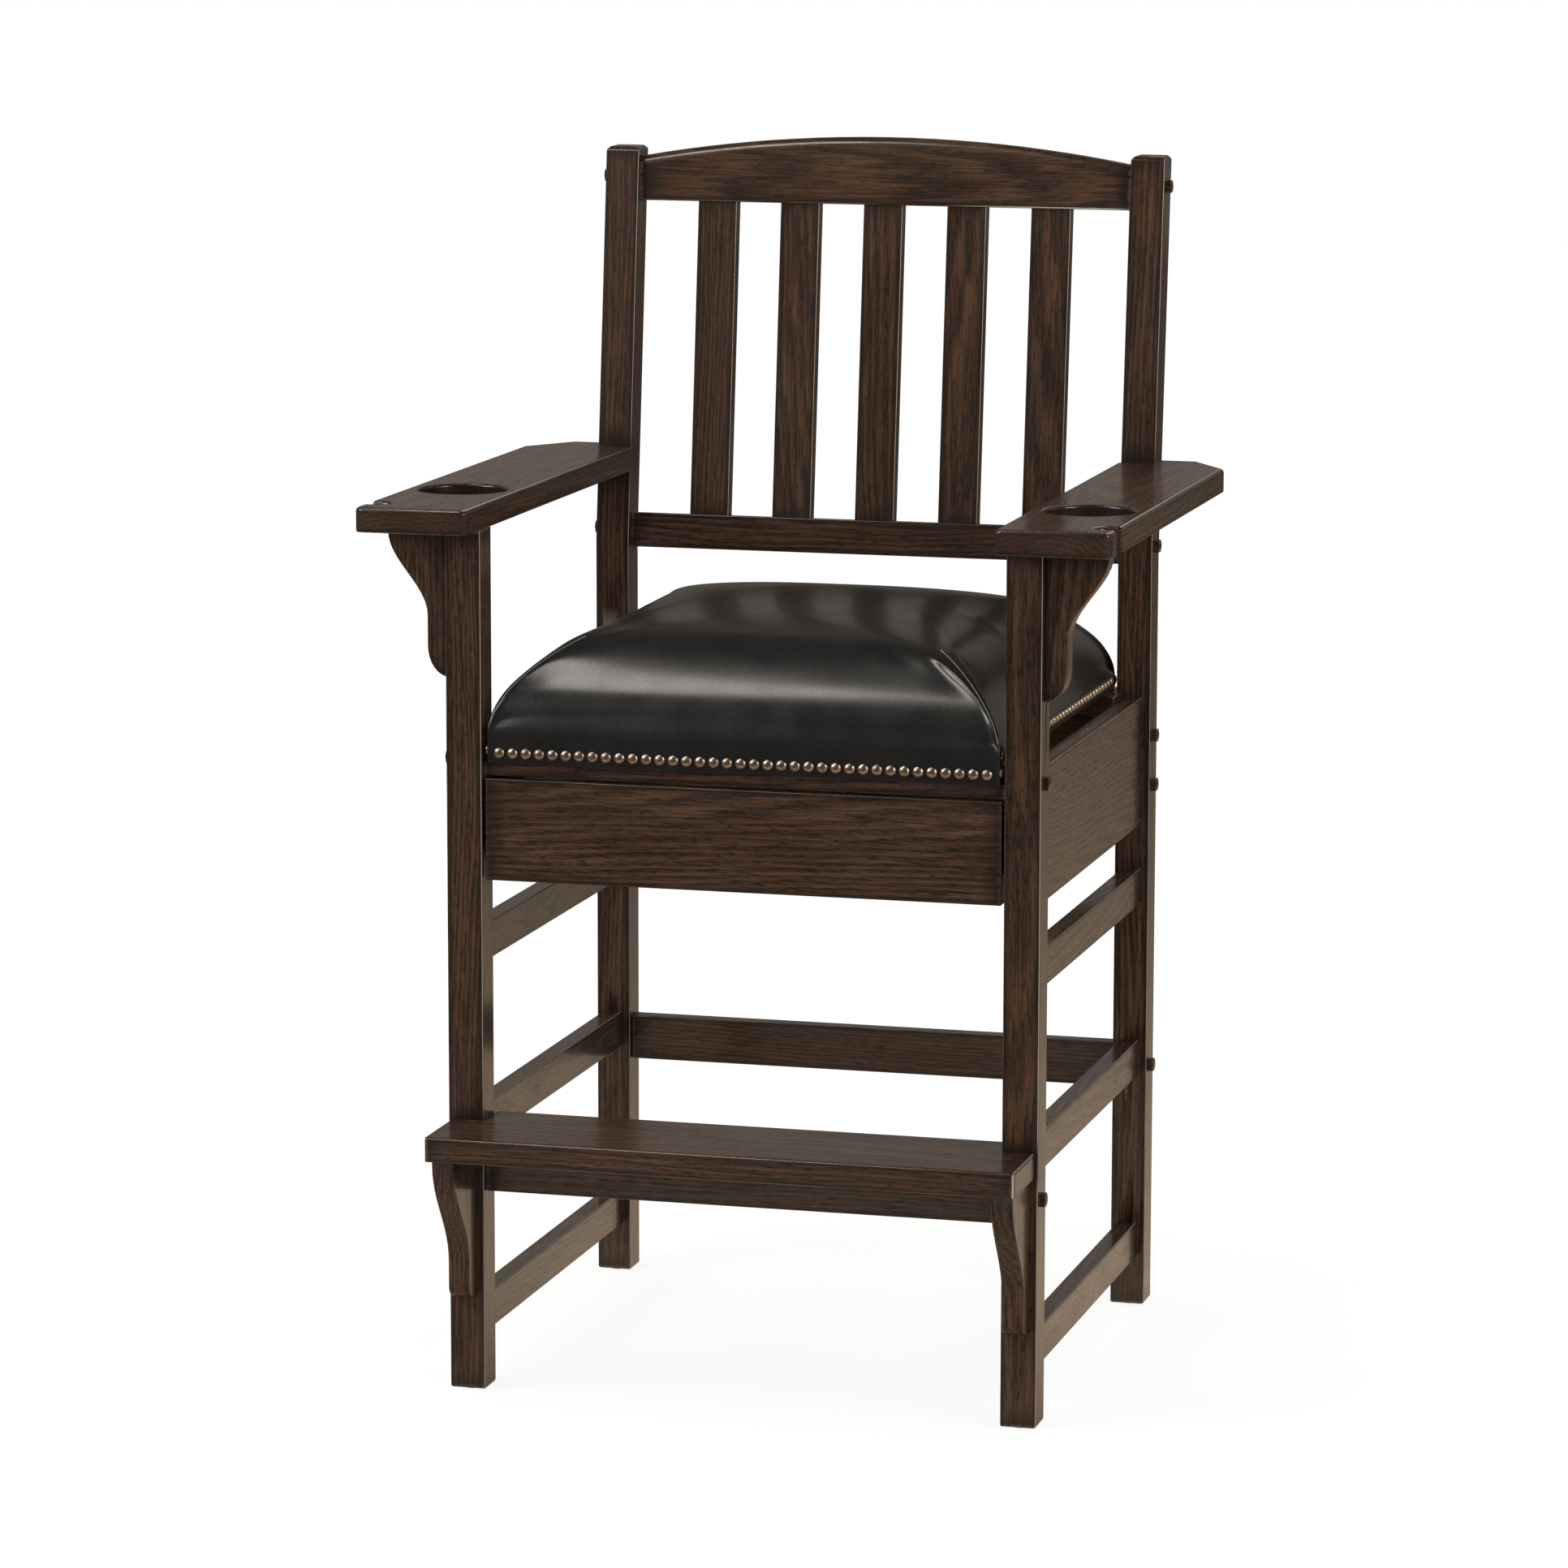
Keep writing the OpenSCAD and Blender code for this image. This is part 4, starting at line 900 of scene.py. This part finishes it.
class SeatShape:
    """Sizes of the leather seat, read from its CAD solid."""

    def __init__(self):
        low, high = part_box("seat_cushion")
        self.middle = Vector(((low.x + high.x) / 2, (low.y + high.y) / 2, 0))
        self.half_x = (high.x - low.x) / 2
        self.half_y = (high.y - low.y) / 2
        # Stuffing lifts the crown to its full height, so it starts out lower, with fuller flanks.
        self.top = high.z - STUFFING
        self.crown_round = CROWN_ROUND_SLACK
        self.hem_front = low.z
        self.hem_side = low.z + HEM_LIFT
        self.board_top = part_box("seat_board")[1].z
        self.wall_top = self.board_top + WALL
        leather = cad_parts["seat_cushion"].data.vertices
        self.skirt_end = max(v.co.y for v in leather if v.co.z < low.z + NEAR)

    def corners(self):
        """The seat's corners in plan, each with the signs of its sides."""
        for sx in (-1, 1):
            for sy in (-1, 1):
                yield sx, sy, self.middle + Vector((sx * self.half_x, sy * self.half_y, 0))

    def crown(self, inset):
        """Height of the crown at a distance inside the seat's edge."""
        t = min(1.0, inset / self.half_x)
        return self.wall_top + (self.top - self.wall_top) * (1 - (1 - t) ** CROWN_FULL) ** self.crown_round

    def ring(self, inset, radius, sides):
        """Points of one level, counter-clockwise from the front right corner. sides are the shares of
        each side at which it has a point."""
        w, d = self.half_x - inset, self.half_y - inset
        r = max(SMALLEST_RADIUS, min(radius, 0.92 * min(w, d)))
        points = []
        for q in range(4):
            sx, sy = ((1, -1), (1, 1), (-1, 1), (-1, -1))[q]
            centre = Vector((sx * (w - r), sy * (d - r), 0))
            start = (-90, 0, 90, 180)[q]
            for i in range(CORNER_STEPS + 1):
                a = math.radians(start + 90 * i / CORNER_STEPS)
                points.append(centre + r * Vector((math.cos(a), math.sin(a), 0)))
            nx, ny = ((1, 1), (-1, 1), (-1, -1), (1, -1))[q]
            a = math.radians(start + 90)
            out = Vector((math.cos(a), math.sin(a), 0))
            end = Vector((nx * (w - r), ny * (d - r), 0)) + r * out
            for u in sides:
                points.append(points[-1 - sides.index(u)].lerp(end, u))
        return [p + self.middle for p in points]


def side_shares(shape, count=30, crowd=1.7):
    """Shares along a side, crowded towards both corners, with a step where the front skirt ends."""
    shares = []
    for i in range(1, count):
        t = 2 * i / count - 1
        shares.append(0.5 + 0.5 * math.copysign(1 - (1 - abs(t)) ** crowd, t))
    start = shape.middle.y - shape.half_y + SEAT_CORNER
    length = 2 * (shape.half_y - SEAT_CORNER)
    step = (shape.skirt_end - start) / length
    for share in (step, step + 0.6 * MM / length):
        shares = [u for u in shares if min(abs(u - share), abs(1 - u - share)) > SHARE_GAP]
        shares += [share, 1 - share]
    return sorted(shares)


def seat_levels(shape):
    """(inset, height, corner radius, share of the wall) of each level from the hem to the crown."""
    levels = [(0.0, None, SEAT_CORNER, i / 4) for i in range(5)]
    step = FIRST_STEP
    inset = step
    while inset < CROWN_EDGE * shape.half_x:
        radius = SEAT_CORNER + 0.3 * inset + 0.7 * max(0, inset - SEAM_END)
        levels.append((inset, shape.crown(inset), radius, None))
        step = min(step * STEP_GROWTH, LAST_STEP)
        inset += step
    return levels


def leather_mesh(shape):
    """The seat's skin as rings of quads, closed at the crown and open at the hem."""
    shares = side_shares(shape)
    bm = bmesh.new()
    rings = []
    for inset, height, radius, rise in seat_levels(shape):
        ring = []
        for p in shape.ring(inset, radius, shares):
            if rise is None:
                z = height
            else:
                front = p.y < shape.skirt_end + 0.1 * MM
                hem = shape.hem_front if front else shape.hem_side
                z = hem + (shape.board_top - hem) * rise
            ring.append(bm.verts.new((p.x, p.y, z)))
        rings.append(ring)
    count = len(rings[0])
    for lower, upper in zip(rings, rings[1:]):
        for i in range(count):
            j = (i + 1) % count
            bm.faces.new((lower[i], lower[j], upper[j], upper[i]))
    tip = bm.verts.new((shape.middle.x, shape.middle.y, shape.top))
    for i in range(count):
        bm.faces.new((rings[-1][i], rings[-1][(i + 1) % count], tip))
    bm.normal_update()
    mesh = bpy.data.meshes.new("leather_seat")
    bm.to_mesh(mesh)
    bm.free()
    return mesh


def stitch_seams(ob, shape):
    """Sinks a sewn seam along each corner's diagonal, with the leather a little full on both sides."""
    bm = bmesh.new()
    bm.from_mesh(ob.data)
    for sx, sy, corner in shape.corners():
        side = Vector((sx, -sy, 0)).normalized()
        inward = Vector((-sx, -sy, 0)).normalized()

        def near(v):
            along = (v.co - corner).dot(inward)
            beside = abs((v.co - corner).dot(side))
            return -2 * MM < along < SEAM_END * 1.5 + 6 * MM and beside < SEAM_HALF

        for off in SEAM_ROWS:
            faces = [f for f in bm.faces if f.normal.z > 0.05 and all(near(v) for v in f.verts)]
            parts = set(faces)
            parts.update(e for f in faces for e in f.edges)
            parts.update(v for f in faces for v in f.verts)
            at = corner + side * off * MM
            bmesh.ops.bisect_plane(bm, geom=list(parts), plane_co=at, plane_no=side)
        bm.normal_update()
        for v in bm.verts:
            if not near(v) or v.co.z < shape.wall_top:
                continue
            off = abs((v.co - corner).dot(side)) / MM
            inset = (v.co - corner).dot(inward) / math.sqrt(2)
            fade = min(1, max(0, inset / SEAM_FADE_IN)) * min(1, max(0, (SEAM_END - inset) / SEAM_FADE_OUT))
            dip = SEAM_DIP * math.exp(-((off / DIP_WIDTH) ** 2))
            dip += SEAM_SWELL * math.exp(-(((off - FULL_AT) / FULL_WIDTH) ** 2))
            v.co += v.normal * dip * fade * MM
    bm.to_mesh(ob.data)
    bm.free()


def seam_places(ob, shape):
    """Stitches down each seam, from its corner up: where each lies and the way that it runs."""
    graph = bpy.context.evaluated_depsgraph_get()
    places, ways = [], []
    for sx, sy, corner in shape.corners():
        inset = SEAT_CORNER
        last = None
        while inset < SEAM_END:
            above = corner + Vector((-sx * inset, -sy * inset, shape.top + 1))
            found, at, normal, _ = ob.ray_cast(above, Vector((0, 0, -1)), depsgraph=graph)
            inset += SEAM_WALK
            if not found or (last is not None and (at - last).length < STITCH):
                continue
            if last is not None:
                places.append((at + last) / 2 + normal * STITCH_LIFT)
                ways.append((at - last).normalized())
            last = at
    return places, ways


def inflate(ob, shape):
    """Fills the leather with air for a moment, so that it swells as stuffing makes it."""
    rest = [v.co.copy() for v in ob.data.vertices]
    held = ob.vertex_groups.new(name="held")
    for v in ob.data.vertices:
        low = v.co.z < shape.board_top + NEAR
        held.add([v.index], 1.0 if low else 0.0, "REPLACE")
    cloth = ob.modifiers.new("stuffing", "CLOTH")
    cloth.settings.vertex_group_mass = "held"
    cloth.settings.mass = 0.4
    cloth.settings.tension_stiffness = 18
    cloth.settings.compression_stiffness = 18
    cloth.settings.shear_stiffness = 8
    cloth.settings.bending_stiffness = 4
    cloth.settings.use_pressure = True
    cloth.settings.uniform_pressure_force = 4
    cloth.settings.effector_weights.gravity = 0
    cloth.collision_settings.use_collision = False
    cloth.point_cache.frame_start = 1
    cloth.point_cache.frame_end = SWELL_STEPS
    scene = bpy.context.scene
    for step in range(1, SWELL_STEPS + 1):
        scene.frame_set(step)
    graph = bpy.context.evaluated_depsgraph_get()
    swollen = [v.co.copy() for v in ob.evaluated_get(graph).data.vertices]
    ob.modifiers.remove(cloth)
    scene.frame_set(1)
    for v, a, b in zip(ob.data.vertices, rest, swollen):
        move = b - a
        if move.length > SWELL:
            move = move * (SWELL / move.length)
        v.co = a + move
    ob.vertex_groups.remove(held)


def make_seat(leather):
    shape = SeatShape()
    mesh = leather_mesh(shape)
    ob = link(mesh, "leather_seat")
    inflate(ob, shape)
    mesh.shade_smooth()
    smooth = ob.modifiers.new("smooth", "SUBSURF")
    smooth.levels = 1
    smooth.render_levels = 1
    baked(ob)
    stitch_seams(ob, shape)
    ob.data.shade_smooth()
    dress(ob, leather, "black_leather")
    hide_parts("seat_cushion", "seat_foam")
    return ob, shape


BEAD_SEGMENTS = 20
BEAD_RINGS = 12


def bead_tree():
    """Puts a small ellipsoid on every point, its axis of length Reach along the point's way."""
    tree = bpy.data.node_groups.new("beads", "GeometryNodeTree")
    sockets = {}
    for label, kind in (
        ("Places", "NodeSocketGeometry"),
        ("Radius", "NodeSocketFloat"),
        ("Reach", "NodeSocketFloat"),
        ("Finish", "NodeSocketMaterial"),
    ):
        sockets[label] = tree.interface.new_socket(label, in_out="INPUT", socket_type=kind).identifier
    tree.interface.new_socket("Beads", in_out="OUTPUT", socket_type="NodeSocketGeometry")
    given = tree.nodes.new("NodeGroupInput")
    gives = tree.nodes.new("NodeGroupOutput")
    dome = tree.nodes.new("GeometryNodeMeshUVSphere")
    dome.inputs["Segments"].default_value = BEAD_SEGMENTS
    dome.inputs["Rings"].default_value = BEAD_RINGS
    dome.inputs["Radius"].default_value = 1.0
    size = tree.nodes.new("ShaderNodeCombineXYZ")
    stretch = tree.nodes.new("GeometryNodeTransform")
    way = tree.nodes.new("GeometryNodeInputNamedAttribute")
    way.data_type = "FLOAT_VECTOR"
    way.inputs["Name"].default_value = "way"
    turn = tree.nodes.new("FunctionNodeAlignRotationToVector")
    turn.axis = "Z"
    spread = tree.nodes.new("GeometryNodeInstanceOnPoints")
    real = tree.nodes.new("GeometryNodeRealizeInstances")
    shade = tree.nodes.new("GeometryNodeSetShadeSmooth")
    paint = tree.nodes.new("GeometryNodeSetMaterial")
    wire = tree.links.new
    wire(given.outputs["Radius"], size.inputs[0])
    wire(given.outputs["Radius"], size.inputs[1])
    wire(given.outputs["Reach"], size.inputs[2])
    wire(dome.outputs["Mesh"], stretch.inputs["Geometry"])
    wire(size.outputs[0], stretch.inputs["Scale"])
    wire(way.outputs["Attribute"], turn.inputs["Vector"])
    wire(given.outputs["Places"], spread.inputs["Points"])
    wire(stretch.outputs["Geometry"], spread.inputs["Instance"])
    wire(turn.outputs["Rotation"], spread.inputs["Rotation"])
    wire(spread.outputs["Instances"], real.inputs["Geometry"])
    wire(real.outputs["Geometry"], shade.inputs[0])
    wire(shade.outputs[0], paint.inputs["Geometry"])
    wire(given.outputs["Finish"], paint.inputs["Material"])
    wire(paint.outputs["Geometry"], gives.inputs[0])
    return tree, sockets


def beads(name, places, ways, radius, reach, finish):
    """Ellipsoids of one size on all the places, as one piece: nailheads or stitches."""
    tree, sockets = bead_tree()
    mesh = bpy.data.meshes.new(name)
    mesh.from_pydata(places, [], [])
    layer = mesh.attributes.new("way", "FLOAT_VECTOR", "POINT")
    layer.data.foreach_set("vector", [c for w in ways for c in w])
    ob = link(mesh, name)
    modifier = ob.modifiers.new(name, "NODES")
    modifier.node_group = tree
    modifier[sockets["Radius"]] = radius
    modifier[sockets["Reach"]] = reach
    modifier[sockets["Finish"]] = finish
    baked(ob)
    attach(ob, "frame")
    return ob


def nail_places(shape):
    """Reads the CAD nails one by one: the middle of each head, on the leather, and the way that it faces."""
    bm = bmesh.new()
    bm.from_mesh(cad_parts["seat_nails"].data)
    bmesh.ops.remove_doubles(bm, verts=bm.verts, dist=WELD)
    places, ways, radii, reaches = [], [], [], []
    unseen = set(bm.verts)
    for first in bm.verts:
        if first not in unseen:
            continue
        unseen.discard(first)
        nail = {first}
        edge = set(nail)
        while edge:
            edge = {e.other_vert(v) for v in edge for e in v.link_edges} & unseen
            unseen -= edge
            nail |= edge
        low, high = span([v.co for v in nail])
        middle = (low + high) / 2
        off = middle - shape.middle
        if abs(off.x) / shape.half_x > abs(off.y) / shape.half_y:
            way = Vector((math.copysign(1, off.x), 0, 0))
            middle.x = way.x * shape.half_x
            reaches.append(max(abs(low.x), abs(high.x)) - shape.half_x)
        else:
            way = Vector((0, math.copysign(1, off.y), 0))
            middle.y = shape.middle.y + way.y * shape.half_y
            reaches.append(max(abs(low.y - shape.middle.y), abs(high.y - shape.middle.y)) - shape.half_y)
        places.append(middle)
        ways.append(way)
        radii.append((high.z - low.z) / 2)
    bm.free()
    return places, ways, max(radii), max(reaches)


def make_nails(shape, brass):
    places, ways, radius, reach = nail_places(shape)
    ob = beads("seat_nailheads", places, ways, radius, reach, brass)
    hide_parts("seat_nails")


# The chair

place_camera()
make_floor()
light_studio()

figure = oak_figure_group()
arris = arris_group()
oak = {"material": dark_oak(figure, arris), "slot": "dark_wood"}
birch = {"material": pale_birch(figure, "pale_birch", True), "slot": "pale_wood"}
birch_rods = pale_birch(figure, "birch_rods", False)
leather = black_leather(leather_grain_group())
brass = metal("antique_brass", rgb(0.60, 0.49, 0.40), rgb(0.36, 0.285, 0.225), 0.27, 0.4)
zinc = metal("zinc_steel", rgb(0.62, 0.63, 0.65), rgb(0.46, 0.47, 0.49), 0.24, 0.38, 60.0, (1, 0.05, 1))
nylon = plain_finish("black_nylon", rgb(0.03, 0.03, 0.032), rgb(0.02, 0.02, 0.022), 0.5, 400.0)
thread = plain_finish("seam_thread", rgb(0.34, 0.325, 0.30), rgb(0.22, 0.21, 0.195), 0.4, 900.0)

make_boards(oak, birch)
seat, shape = make_seat(leather)
make_nails(shape, brass)
places, ways = seam_places(seat, shape)
beads("seat_stitches", places, ways, STITCH_RADIUS, STITCH_REACH, thread)

# These CAD nodes are shown as they are.
kept = {"floor_glides": nylon, "frame_dowels": birch_rods}
for node in ("frame_bolts", "barrel_nuts"):
    kept[node] = zinc
for node in ("seat_screws", "slide_screws_frame", "slide_screws_drawer", "drawer_front_screws"):
    kept[node] = zinc
for side in SIDES:
    kept["slide_packer_" + side] = birch_rods
    for member in ("outer", "middle", "inner"):
        kept["slide_%s_%s" % (member, side)] = zinc
for node, material in kept.items():
    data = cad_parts[node].data
    data.materials.clear()
    data.materials.append(material)

bpy.context.scene.view_settings.view_transform = "Standard"
